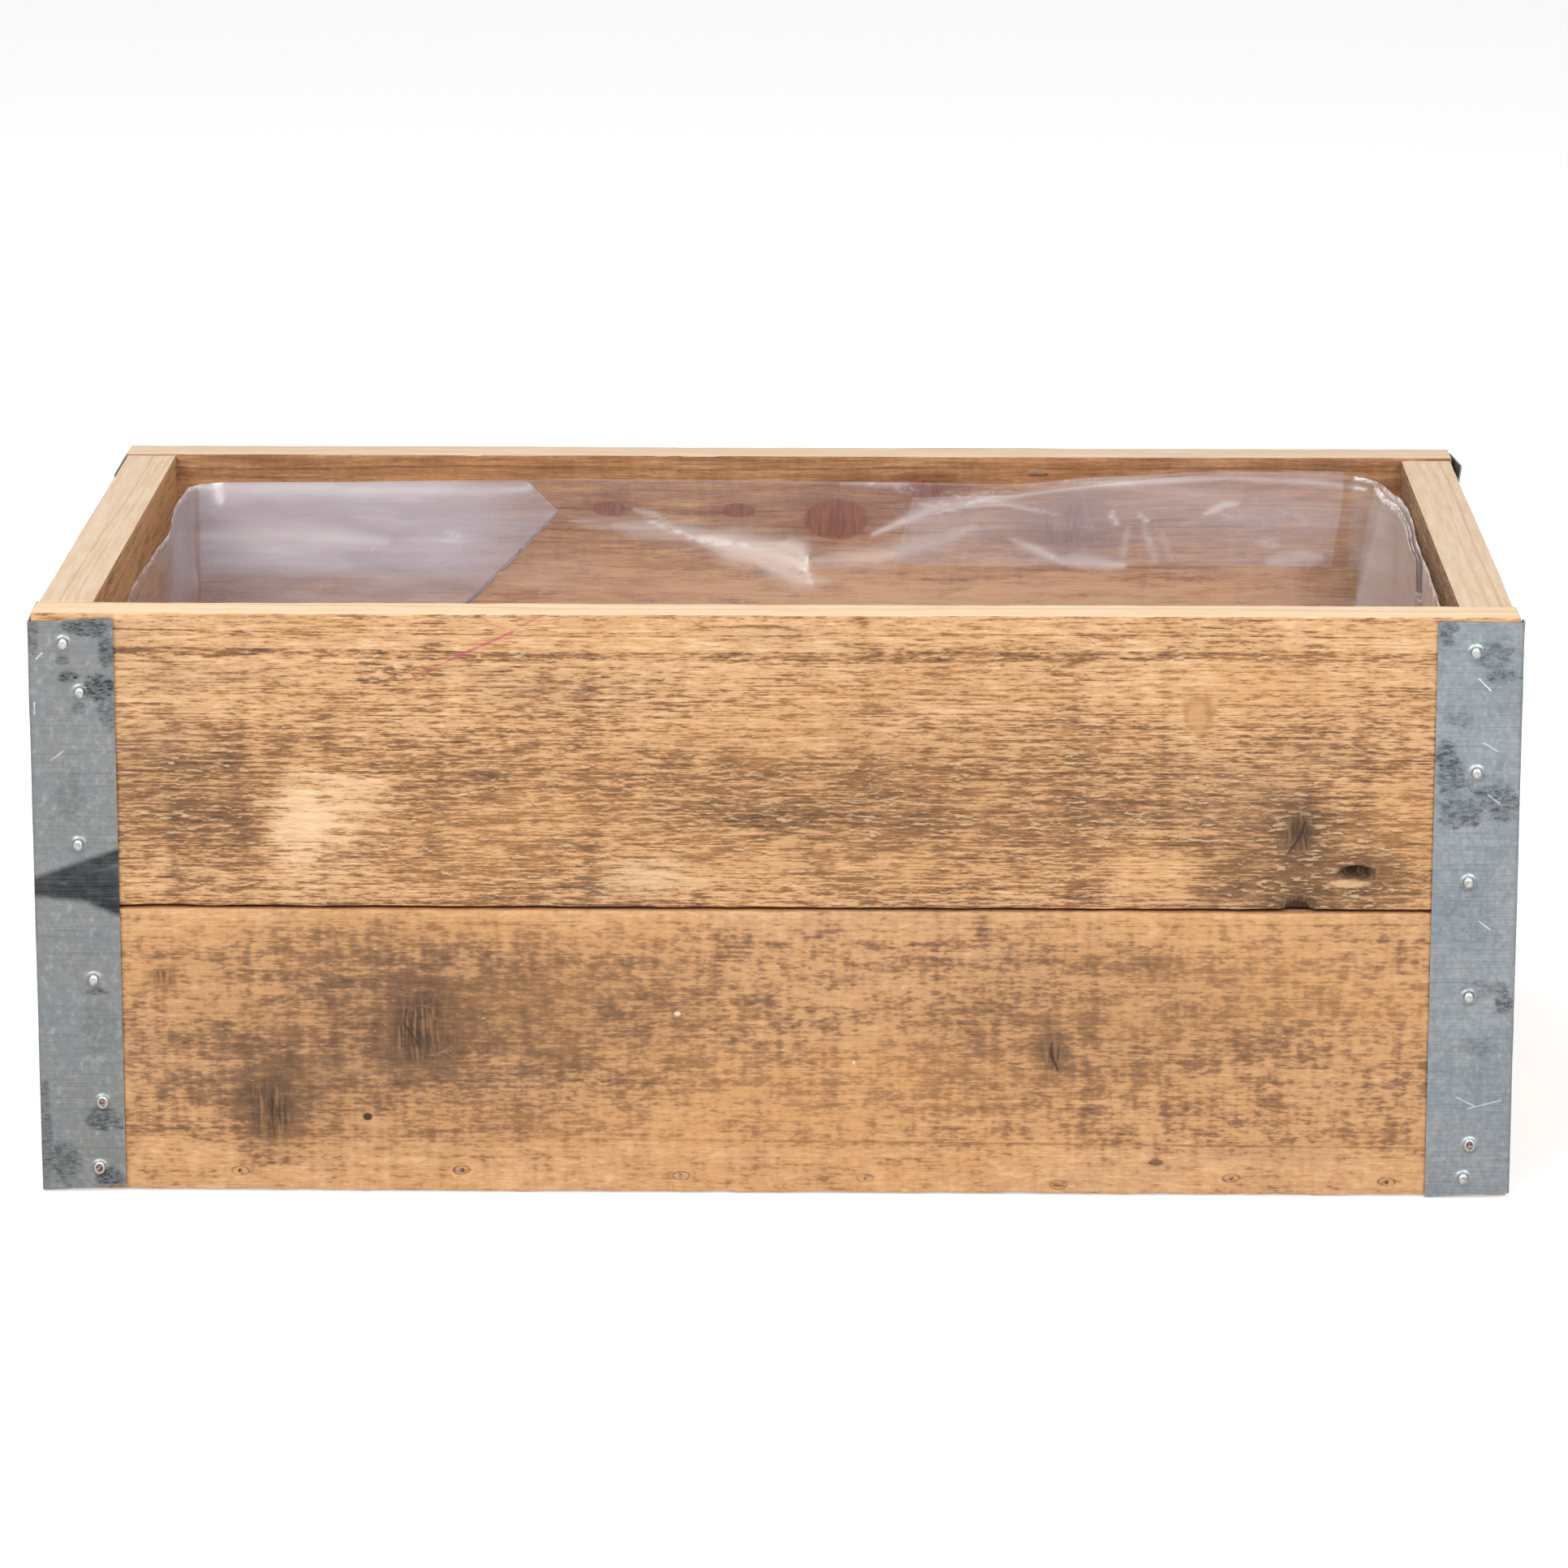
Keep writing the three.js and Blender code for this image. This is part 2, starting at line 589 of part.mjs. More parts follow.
function linerTray() {
  const outline = linerPlan();
  const around = outline.length;
  const rows = FILLET_STEPS + 3;
  const positions = [];
  for (const inset of [0, FILM]) {
    outline.forEach(({ x, y, nx, ny }, column) => {
      for (const [inward, z] of linerProfile(linerEdge(column / around), inset)) {
        positions.push(x - nx * inward, y - ny * inward, z);
      }
    });
  }
  const at = (face, column, row) => (face * around + (column % around)) * rows + row;
  const index = [];
  const quad = (a, b, c, d) => index.push(a, b, c, a, c, d);
  for (let column = 0; column < around; column++) {
    for (let row = 0; row < rows - 1; row++) {
      quad(at(0, column, row), at(0, column + 1, row), at(0, column + 1, row + 1), at(0, column, row + 1));
      quad(at(1, column, row), at(1, column, row + 1), at(1, column + 1, row + 1), at(1, column + 1, row));
    }
    const rim = rows - 1;
    quad(at(0, column, rim), at(0, column + 1, rim), at(1, column + 1, rim), at(1, column, rim));
  }
  const middle = positions.length / 3;
  positions.push(0, 0, LINER_FLOOR, 0, 0, LINER_FLOOR + FILM);
  for (let column = 0; column < around; column++) {
    index.push(middle, at(0, column + 1, 0), at(0, column, 0));
    index.push(middle + 1, at(1, column, 0), at(1, column + 1, 0));
  }
  const geometry = new THREE.BufferGeometry();
  geometry.setAttribute("position", new THREE.Float32BufferAttribute(positions, 3));
  geometry.setIndex(index);
  return closed(geometry);
}

// A flap of spare film lying against the liner's wall. Its four corners are [along, height] pairs in the
// order lower root, lower tip, upper tip, upper root; a flap rooted at its top edge folds over it there.
function filmFlap(wall, [lowerRoot, lowerTip, upperTip, upperRoot], rootedAtTop) {
  const columns = 6;
  const rows = 4;
  const outer = filmDepth(1) + FOLD_GAP;
  const face = (thickness) => (row, column) => {
    const across = column / columns;
    const up = row / rows;
    const lower = [0, 1].map((k) => THREE.MathUtils.lerp(lowerRoot[k], lowerTip[k], across));
    const upper = [0, 1].map((k) => THREE.MathUtils.lerp(upperRoot[k], upperTip[k], across));
    const inward = rootedAtTop && row === rows ? FIT + (FILM - FOLD_FILM) / 2 : outer;
    const [along, z] = [0, 1].map((k) => THREE.MathUtils.lerp(lower[k], upper[k], up));
    return wallPoint(wall, along, inward + thickness, z);
  };
  return thinSolid(rows, columns, face(0), face(FOLD_FILM));
}

// The corner's spare film, folded to a triangle and laid along a wall from that corner
function gusset(wall, sign) {
  const sagitta = FILM + FOLD_GAP - (FILM - FOLD_FILM) / 2;
  const chord = Math.sqrt(LINER_CORNER ** 2 - (LINER_CORNER - sagitta) ** 2);
  const root = sign * (halfLength(wall) - FIT - LINER_CORNER + chord);
  const reach = sign * (halfLength(wall) - GUSSET_REACH);
  const top = LINER_TOP - EDGE_WAVE;
  const foot = LINER_FLOOR + LINER_FILLET + 2;
  const clipped = reach + sign * GUSSET_CLIP;
  return filmFlap(wall, [[root, foot], [reach, top - GUSSET_CLIP], [clipped, top], [root, top]], false);
}

function liner() {
  const hemTop = LINER_TOP - EDGE_WAVE;
  const hemEnd = INNER_X - FIT - LINER_CORNER;
  const hem = [
    [HEM_START, hemTop - HEM_DEPTH],
    [hemEnd, hemTop - HEM_DEPTH],
    [hemEnd, hemTop],
    [HEM_START, hemTop],
  ];
  const sheets = [
    linerTray(),
    gusset("back", -1),
    gusset("right", 1),
    gusset("front", -1),
    gusset("front", 1),
    filmFlap("back", hem, true),
  ];
  return piece("film_liner", joined(sheets), clearFilm);
}

// Assembly

function buildPlanter() {
  const planter = new THREE.Group();
  const nails = strapNails();
  const bottomBrads = Array.from({ length: BOTTOM_BOARDS }, (_, number) => bradsOf(number)).flat();
  const cutters = [
    ...nails.map((nail) => driven(nailHole(STRAP_NAIL, 0), nail)),
    ...bottomBrads.map((brad) => driven(nailHole(brad.kind, BRAD_SINK, 6), brad)),
    ...STAPLES.flatMap((place) => {
      const { left, right } = stapleParts(place, FIT);
      return [left, right];
    }),
  ];
  const knots = KNOT_HOLES.map(knotCutter);
  for (const board of wallBoards()) {
    const own = board.name === "front_board_upper" ? [...cutters, ...knots] : cutters;
    planter.add(drill(board, own));
  }
  for (let number = 0; number < BOTTOM_BOARDS; number++) planter.add(bottomBoard(number));
  for (const corner of Object.keys(CORNERS)) planter.add(drill(strap(corner), cutters));
  for (const nail of nails) {
    planter.add(piece(nail.name, driven(nailGeometry(STRAP_NAIL), nail), brightSteel));
  }
  planter.add(drill(liner(), cutters));
  STAPLES.forEach((place, number) => planter.add(staple(place, number)));
  return planter;
}

export default buildPlanter();
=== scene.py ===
# %% [markdown]
# # A planter box of reclaimed boards
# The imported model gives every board, strap and nail its place. This lesson gives them their looks:
# sawn faces with torn fibres, sheet metal with dents, and a clear film liner with folds. It starts
# by loading the model, because each new piece takes its size from the piece that it stands for.

import math

import bpy
import numpy as np
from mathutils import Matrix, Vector


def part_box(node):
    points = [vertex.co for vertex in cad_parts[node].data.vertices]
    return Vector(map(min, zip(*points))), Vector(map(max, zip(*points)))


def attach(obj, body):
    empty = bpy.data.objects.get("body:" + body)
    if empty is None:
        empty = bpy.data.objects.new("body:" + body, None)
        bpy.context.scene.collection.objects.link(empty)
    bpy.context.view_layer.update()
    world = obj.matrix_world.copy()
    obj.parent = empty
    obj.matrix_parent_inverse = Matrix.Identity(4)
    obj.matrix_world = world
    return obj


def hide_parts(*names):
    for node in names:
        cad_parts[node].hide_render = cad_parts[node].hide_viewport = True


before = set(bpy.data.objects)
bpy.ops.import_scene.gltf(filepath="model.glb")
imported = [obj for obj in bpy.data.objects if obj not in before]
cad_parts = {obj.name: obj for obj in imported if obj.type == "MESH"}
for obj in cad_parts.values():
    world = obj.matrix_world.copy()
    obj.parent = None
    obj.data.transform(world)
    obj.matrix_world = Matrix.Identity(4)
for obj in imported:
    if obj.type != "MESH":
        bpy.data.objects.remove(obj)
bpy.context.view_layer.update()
MM = 0.001
RIGHT_ANGLE = math.pi / 2

# %% [markdown]
# ## The camera
# The photograph is taken from far away with a long lens, a little above the rim. A long lens draws
# the far wall almost as long as the near one. The place and the lens were found by fitting the
# eight corners of the box, so the camera is set by plain numbers.

# %% Camera
bpy.ops.object.camera_add(location=(0.0386, -2.2813, 0.6661),
                          rotation=(math.radians(76.252), 0, math.radians(0.951)))
camera = bpy.context.object
camera.data.sensor_width = 36
camera.data.lens = 149.55
camera.data.clip_start = 0.1
camera.data.clip_end = 50
bpy.context.scene.camera = camera
print("The camera stands", round(camera.location.length, 2), "m from the box")

# %% [markdown]
# ## Stage and light
# The box stands on a pale floor in a bright tent. The world is white wherever the camera, a
# reflection or the film looks at it, and a plain soft grey where it only lights the object. One
# large lamp above gives the top edges their light, and two in front open the long wall.

# %% Floor, world and lamps
def srgb(red, green, blue, alpha=1.0):
    """A colour given as on a screen, 0 to 255, as the linear colour that a shader needs."""
    linear = [c / 255 / 12.92 if c / 255 <= 0.04045 else ((c / 255 + 0.055) / 1.055) ** 2.4
              for c in (red, green, blue)]
    return (*linear, alpha)


FLOOR_SIZE = 12
FLOOR_GLOW = 0.5
WORLD_LIGHT = 0.42

bpy.ops.mesh.primitive_plane_add(size=FLOOR_SIZE)
floor = bpy.context.object
floor.name = "studio_floor"
floor_paint = bpy.data.materials.new("pale_floor")
floor_paint.use_nodes = True
nodes, links = floor_paint.node_tree.nodes, floor_paint.node_tree.links
paper = nodes["Principled BSDF"].inputs
paper["Base Color"].default_value = (0.8, 0.8, 0.8, 1)
paper["Roughness"].default_value = 0.9
paper["Emission Color"].default_value = (1, 1, 1, 1)
glow = nodes.new("ShaderNodeMapRange")
glow.inputs["To Max"].default_value = FLOOR_GLOW
links.new(nodes.new("ShaderNodeLightPath").outputs["Is Camera Ray"], glow.inputs["Value"])
links.new(glow.outputs[0], paper["Emission Strength"])
floor.data.materials.append(floor_paint)

world = bpy.data.worlds.new("tent")
bpy.context.scene.world = world
world.use_nodes = True
tent = world.node_tree
paths = tent.nodes.new("ShaderNodeLightPath")
white = paths.outputs["Is Camera Ray"]
for ray in ("Is Transmission Ray", "Is Glossy Ray"):
    either = tent.nodes.new("ShaderNodeMath")
    either.operation = "MAXIMUM"
    tent.links.new(white, either.inputs[0])
    tent.links.new(paths.outputs[ray], either.inputs[1])
    white = either.outputs[0]
level = tent.nodes.new("ShaderNodeMapRange")
level.inputs["To Min"].default_value = WORLD_LIGHT
tent.links.new(white, level.inputs["Value"])
tent.nodes["Background"].inputs["Color"].default_value = (1, 1, 1, 1)
tent.links.new(level.outputs[0], tent.nodes["Background"].inputs["Strength"])


def soft_lamp(name, place, aim, size, power):
    bpy.ops.object.light_add(type="AREA", location=place)
    lamp = bpy.context.object
    lamp.name = name
    lamp.data.size = size
    lamp.data.energy = power
    lamp.rotation_euler = (Vector(aim) - Vector(place)).to_track_quat("-Z", "Y").to_euler()


soft_lamp("top_lamp", (-0.5, 0.4, 2.2), (0, 0, 0.1), 1.6, 15)
soft_lamp("front_left_lamp", (-1.2, -2.5, 1.7), (0, 0, 0.1), 1.2, 36)
soft_lamp("front_right_lamp", (1.2, -2.5, 1.7), (0, 0, 0.1), 1.2, 36)
bpy.context.scene.view_settings.view_transform = "Standard"

# %% [markdown]
# ## Hands: choosing and editing
# An edit tool acts on whatever is chosen. By hand you would click; here a test on the place and
# direction of each face, edge or point does it. These small helpers pick a piece, choose in it, and
# run one edit tool or one modifier. They are used by every piece below.

# %% Choosing in code
MODES = {"vertices": (True, False, False), "edges": (False, True, False), "polygons": (False, False, True)}


def pick(piece):
    bpy.ops.object.select_all(action="DESELECT")
    piece.select_set(True)
    bpy.context.view_layer.objects.active = piece


def points_of(piece):
    points = np.empty(len(piece.data.vertices) * 3)
    piece.data.vertices.foreach_get("co", points)
    return points.reshape(-1, 3)


def edge_ends(piece):
    pairs = np.empty(len(piece.data.edges) * 2, int)
    piece.data.edges.foreach_get("vertices", pairs)
    return points_of(piece)[pairs.reshape(-1, 2)]


def faces_of(piece):
    """The middle and the outward direction of every face."""
    middles = np.empty(len(piece.data.polygons) * 3)
    normals = np.empty(len(piece.data.polygons) * 3)
    piece.data.polygons.foreach_get("center", middles)
    piece.data.polygons.foreach_get("normal", normals)
    return middles.reshape(-1, 3), normals.reshape(-1, 3)


def choose(piece, kind, chosen):
    """Selects the points, edges or faces whose entry in chosen is true, and nothing else."""
    for each in MODES:
        items = getattr(piece.data, each)
        items.foreach_set("select", np.zeros(len(items), bool) if each != kind
                          else np.asarray(chosen, bool))
    bpy.context.tool_settings.mesh_select_mode = MODES[kind]


def edit(piece, tool, **settings):
    """Runs one edit-mode tool on what is chosen."""
    pick(piece)
    bpy.ops.object.mode_set(mode="EDIT")
    tool(**settings)
    bpy.ops.object.mode_set(mode="OBJECT")


def modify(piece, kind, **settings):
    """Adds a modifier with its settings and applies it at once."""
    pick(piece)
    modifier = piece.modifiers.new(kind.title(), kind)
    for name, value in settings.items():
        setattr(modifier, name, value)
    bpy.ops.object.modifier_apply(modifier=modifier.name)


def slice_along(piece, axis, *cuts, shortest=2 * MM):
    """Divides every long edge that runs along an axis, round after round, as even loop cuts would."""
    for count in cuts:
        ends = edge_ends(piece)
        run = np.abs(ends[:, 1] - ends[:, 0])
        length = np.linalg.norm(run, axis=1)
        choose(piece, "edges", (run[:, axis] > 0.9 * length) & (length > shortest))
        edit(piece, bpy.ops.mesh.subdivide, number_cuts=count)


def finish_piece(piece, material, node, angle=40):
    """Shades a piece, gives it its material, hangs it on the root and hides the part it stands for."""
    pick(piece)
    bpy.ops.object.shade_smooth_by_angle(angle=math.radians(angle))
    piece.data.materials.clear()
    piece.data.materials.append(material)
    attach(piece, "root")
    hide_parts(node)


print("Tools ready:", ", ".join(MODES))

# %% [markdown]
# ## Hands: relief
# A sawn face is never flat: fibres stand up along the board, and the saw left faint ridges across
# it. A Displace modifier with a clouds texture makes both. The texture is read through an empty
# that is stretched along the fibre, so one texture serves long fibres and round lumps. Where the
# relief has to stay in one place, such as a dent by a nail, a vertex group weighs it.

# %% Relief helpers
WEIGHT_STEPS = 200


def weigh(piece, weights):
    """Paints a fresh vertex group with one weight for each point, and returns its name."""
    group = piece.vertex_groups.new(name="painted")
    steps = np.round(np.clip(weights, 0, 1) * WEIGHT_STEPS).astype(int)
    for step in np.unique(steps[steps > 0]):
        group.add(np.flatnonzero(steps == step).tolist(), step / WEIGHT_STEPS, "REPLACE")
    return group.name


def push(piece, weights, distance, direction="NORMAL"):
    """Moves each point by its weight times a distance, along an axis or its own normal."""
    group = weigh(piece, weights)
    modify(piece, "DISPLACE", strength=distance, mid_level=0, direction=direction, vertex_group=group)
    piece.vertex_groups.clear()


def roughen(piece, grain, depth, direction="NORMAL", weights=None, shift=0.0, mid=0.5):
    """Displaces a piece by a texture whose lumps have the size grain = (x, y, z)."""
    texture = bpy.data.textures.new("lumps", "CLOUDS")
    texture.noise_scale = 1
    bpy.ops.object.empty_add(location=(shift, shift, shift))
    stretch = bpy.context.object
    stretch.scale = grain
    bpy.context.view_layer.update()
    settings = dict(texture=texture, texture_coords="OBJECT", texture_coords_object=stretch)
    if weights is not None:
        settings["vertex_group"] = weigh(piece, weights)
    modify(piece, "DISPLACE", strength=depth, mid_level=mid, direction=direction, **settings)
    piece.vertex_groups.clear()
    bpy.data.objects.remove(stretch)
    bpy.data.textures.remove(texture)


def soft_step(values, low, high):
    share = np.clip((values - low) / (high - low), 0, 1)
    return share * share * (3 - 2 * share)


def ellipse(points, centre, half, axes=(0, 2)):
    """How far each point is from a centre, in units of the ellipse's half sizes."""
    across, up = (points[:, axis] for axis in axes)
    return np.hypot((across - centre[0]) / half[0], (up - centre[1]) / half[1])


print("Relief is weighed in", WEIGHT_STEPS, "steps")

# %% [markdown]
# ## Shader tools
# Wood and metal need many small effects, such as flecks, stains, knots and scratches, and several
# materials share them. Each effect is a node group with named inputs and one or more masks as
# outputs. A small class adds nodes and joins them, so that a recipe reads like a recipe. All
# positions inside the groups are in millimetres, read from Object coordinates.

# %% A class for node recipes
ORIGIN = (0.0, 0.0, 0.0)
THROUGH = 1e6


class Recipe:
    """Adds nodes to a material or a group, and joins each to what feeds it."""

    def __init__(self, tree):
        self.tree = tree

    def add(self, kind, feeds=None, **settings):
        node = self.tree.nodes.new("ShaderNode" + kind)
        for name, value in settings.items():
            setattr(node, name, value)
        for socket, value in (feeds or {}).items():
            if isinstance(value, bpy.types.NodeSocket):
                self.tree.links.new(value, node.inputs[socket])
            else:
                node.inputs[socket].default_value = value
        return node

    def sum(self, kind, first, second=0.0, third=0.0, clamp=False):
        return self.add("Math", {0: first, 1: second, 2: third}, operation=kind, use_clamp=clamp).outputs[0]

    def vector(self, kind, first, second=(0, 0, 0)):
        return self.add("VectorMath", {0: first, 1: second}, operation=kind).outputs["Vector"]

    def length(self, vector):
        return self.add("VectorMath", {0: vector}, operation="LENGTH").outputs["Value"]

    def noise(self, place, detail=2.0, roughness=0.5):
        feeds = {"Vector": place, "Scale": 1.0, "Detail": detail, "Roughness": roughness}
        return self.add("TexNoise", feeds).outputs["Fac"]

    def stretched(self, place, size, seed=0.0, detail=2.0, roughness=0.5):
        """Noise whose lumps have a size in millimetres along each axis."""
        scaled = self.vector("MULTIPLY", place, tuple(1 / s for s in size))
        return self.noise(self.vector("ADD", scaled, (seed, seed * 1.7, seed * 0.6)), detail, roughness)

    def swing(self, place, size, seed=0.0, detail=2.0, roughness=0.5):
        """Stretched noise that swings about zero."""
        return self.sum("SUBTRACT", self.stretched(place, size, seed, detail, roughness), 0.5)

    def fade(self, value, low, high, start=0.0, end=1.0):
        feeds = {"Value": value, "From Min": low, "From Max": high, "To Min": start, "To Max": end}
        return self.add("MapRange", feeds, interpolation_type="SMOOTHSTEP").outputs["Result"]

    def paint(self, under, mask, colour, strength=1.0):
        """Lays a colour over another where a mask says so."""
        share = self.sum("MULTIPLY", mask, strength, clamp=True)
        return self.add("Mix", {0: share, 6: under, 7: colour}, data_type="RGBA").outputs[2]

    def profile(self, value, reach, stops):
        """An amount from -1 to 1 that follows stops = [(place, amount), ...] along reach = (low, high)."""
        feeds = {"Value": value, "From Min": reach[0], "From Max": reach[1]}
        node = self.add("FloatCurve", {"Value": self.add("MapRange", feeds).outputs["Result"]})
        knees = node.mapping.curves[0].points
        for number, (place, amount) in enumerate(sorted(stops)):
            location = ((place - reach[0]) / (reach[1] - reach[0]), (amount + 1) / 2)
            if number < 2:
                knees[number].location = location
            else:
                knees.new(*location)
        for knee in knees:
            knee.handle_type = "VECTOR"
        node.mapping.update()
        return self.sum("MULTIPLY_ADD", node.outputs[0], 2.0, -1.0)

    def use(self, group, feeds):
        return self.add("Group", feeds, node_tree=group).outputs

    def position(self, along="x"):
        """Object coordinates in millimetres, turned so that the fibre runs along X."""
        place = self.vector("SCALE", self.add("TexCoord").outputs["Object"])
        place.node.inputs["Scale"].default_value = 1 / MM
        if along == "x":
            return place
        parts = self.add("SeparateXYZ", {0: place}).outputs
        return self.add("CombineXYZ", {0: parts["Y"], 1: parts["X"], 2: parts["Z"]}).outputs[0]


def new_material(name):
    """A material with its recipe and the inputs of its shader."""
    material = bpy.data.materials.new(name)
    material.use_nodes = True
    tree = material.node_tree
    return material, Recipe(tree), tree.nodes["Principled BSDF"].inputs


def new_group(name, inputs, outputs):
    """An empty node group: its recipe, its inputs and a way to hand in its outputs."""
    tree = bpy.data.node_groups.new(name, "ShaderNodeTree")
    for label, value in inputs.items():
        kind = "NodeSocketVector" if isinstance(value, tuple) else "NodeSocketFloat"
        tree.interface.new_socket(name=label, in_out="INPUT", socket_type=kind).default_value = value
    for label in outputs:
        tree.interface.new_socket(name=label, in_out="OUTPUT", socket_type="NodeSocketFloat")
    source = tree.nodes.new("NodeGroupInput").outputs
    target = tree.nodes.new("NodeGroupOutput").inputs
    return Recipe(tree), source, target


print("A mark reaches", THROUGH, "mm through its board")

# %% [markdown]
# ### Marks with a place
# Spots, strokes and knots sit at one place each. A spot is an ellipse with a ragged edge, measured
# across the face only, so that it goes through the board. A stroke is the distance to a straight
# line with a pressure that comes and goes. A knot has a dark heart streaked with fibre, and a halo
# of stained fibre.

# %% Spot, stroke and knot groups
def spot_group():
    r, given, made = new_group(
        "Spot", {"Position": ORIGIN, "Centre": ORIGIN, "Half Size": (10.0, THROUGH, 10.0),
                 "Ragged": 0.5, "Soft": 0.3, "Uneven": 0.0}, ["Mask"])
    offset = r.vector("SUBTRACT", given["Position"], given["Centre"])
    far = r.length(r.vector("DIVIDE", offset, given["Half Size"]))
    edge = r.sum("MULTIPLY_ADD", given["Uneven"], given["Ragged"], far)
    inner = r.sum("SUBTRACT", 1.0, given["Soft"])
    outer = r.sum("ADD", 1.0, given["Soft"])
    r.tree.links.new(r.fade(edge, inner, outer, 1.0, 0.0), made["Mask"])
    return r.tree


def stroke_group():
    r, given, made = new_group(
        "Stroke", {"Position": ORIGIN, "Start": ORIGIN, "End": (10.0, 0.0, 0.0), "Width": 0.5,
                   "Broken": 0.5, "Uneven": 0.0}, ["Mask"])
    flat = r.vector("MULTIPLY", given["Position"], (1, 0, 1))
    run = r.vector("SUBTRACT", given["End"], given["Start"])
    offset = r.vector("SUBTRACT", flat, given["Start"])
    dots = [r.add("VectorMath", {0: a, 1: run}, operation="DOT_PRODUCT").outputs["Value"]
            for a in (offset, run)]
    share = r.sum("DIVIDE", dots[0], dots[1], clamp=True)
    nearest = r.add("VectorMath", {0: run, "Scale": share}, operation="SCALE").outputs["Vector"]
    far = r.length(r.vector("SUBTRACT", offset, nearest))
    line = r.fade(r.sum("DIVIDE", far, given["Width"]), 0.35, 1.0, 1.0, 0.0)
    gaps = r.fade(given["Uneven"], -0.12, 0.1)
    kept = r.sum("SUBTRACT", 1.0, given["Broken"])
    pressure = r.sum("MULTIPLY_ADD", gaps, given["Broken"], kept)
    r.tree.links.new(r.sum("MULTIPLY", line, pressure), made["Mask"])
    return r.tree


def knot_group():
    r, given, made = new_group(
        "Knot", {"Position": ORIGIN, "Centre": ORIGIN, "Half Size": (6.0, THROUGH, 8.0), "Soft": 0.4,
                 "Uneven": 0.0, "Fibre": 0.0}, ["Heart", "Fibres", "Pale", "Halo"])
    offset = r.vector("DIVIDE", r.vector("SUBTRACT", given["Position"], given["Centre"]),
                      given["Half Size"])
    far = r.sum("MULTIPLY_ADD", given["Uneven"], r.sum("MULTIPLY", given["Soft"], 2.4), r.length(offset))
    far = r.sum("MULTIPLY_ADD", given["Fibre"], r.sum("MULTIPLY", given["Soft"], 1.6), far)
    heart = r.fade(far, r.sum("SUBTRACT", 1.0, given["Soft"]), r.sum("ADD", 1.0, given["Soft"]), 1.0, 0.0)
    r.tree.links.new(heart, made["Heart"])
    r.tree.links.new(r.sum("MULTIPLY", heart, r.fade(given["Fibre"], 0.0, 0.14)), made["Fibres"])
    r.tree.links.new(r.sum("MULTIPLY", heart, r.fade(given["Fibre"], -0.12, -0.02, 1.0, 0.0)), made["Pale"])
    r.tree.links.new(r.fade(far, 0.7, 3.0, 1.0, 0.0), made["Halo"])
    return r.tree


SPOT, STROKE, KNOT = spot_group(), stroke_group(), knot_group()


def spot(r, place, x, z, half_x, half_z, ragged, soft, uneven):
    """The mask of one spot, its middle and half sizes given on the face in millimetres."""
    feeds = {"Position": place, "Centre": (x, 0.0, z), "Half Size": (half_x, THROUGH, half_z),
             "Ragged": ragged, "Soft": soft, "Uneven": uneven}
    return r.use(SPOT, feeds)["Mask"]


def stroke(r, place, x0, z0, x1, z1, width, broken, uneven):
    """The mask of one stroke from a first to a last point on the face."""
    feeds = {"Position": place, "Start": (x0, 0.0, z0), "End": (x1, 0.0, z1), "Width": width,
             "Broken": broken, "Uneven": uneven}
    return r.use(STROKE, feeds)["Mask"]


print("Groups for marks:", SPOT.name, STROKE.name, KNOT.name)

# %% [markdown]
# ### Wood fibre
# Growth lines are the edges of the tree's year rings, cut lengthwise: thin, dark and almost
# straight. Between them the weather has left dirt in the torn fibre. The torn fibre group adds up
# noises of several grains, from patches to specks, into one level of dirt, and takes a cover from
# outside, so that a stain or a knot can gather it. Lens-shaped flecks come on top, where the saw
# lifted a chip. The last group finds the fresh cut along the rim.

# %% Growth line and fleck groups
def growth_group():
    r, given, made = new_group(
        "Growth lines", {"Position": ORIGIN, "Spacing": 2.5, "Tilt": 0.3, "Wander": 3.0}, ["Lines"])
    place = given["Position"]
    slow = r.swing(place, (240, 70, 55), 3.1, 1.0)
    quick = r.swing(place, (34, 16, 10), 8.3, 2.0)
    parts = r.add("SeparateXYZ", {0: place}).outputs
    level = r.sum("MULTIPLY_ADD", parts["Y"], given["Tilt"], parts["Z"])
    level = r.sum("MULTIPLY_ADD", slow, r.sum("MULTIPLY", given["Wander"], 3.0), level)
    level = r.sum("MULTIPLY_ADD", quick, r.sum("MULTIPLY", given["Wander"], 0.3), level)
    ring = r.sum("DIVIDE", level, given["Spacing"])
    year = r.add("TexNoise", {"W": ring, "Scale": 0.45, "Detail": 0.0}, noise_dimensions="1D")
    ring = r.sum("MULTIPLY_ADD", year.outputs["Fac"], 2.2, ring)
    phase = r.sum("FRACT", ring)
    lot = r.add("TexWhiteNoise", {"W": r.sum("FLOOR", ring)}, noise_dimensions="1D").outputs["Value"]
    late = r.sum("MULTIPLY", r.fade(phase, 0.6, 0.93), r.fade(phase, 0.95, 1.0, 1.0, 0.0))
    strong = r.sum("MULTIPLY_ADD", r.sum("POWER", lot, 3.0), 0.8, 0.2)
    r.tree.links.new(r.sum("MULTIPLY", late, strong), made["Lines"])
    return r.tree


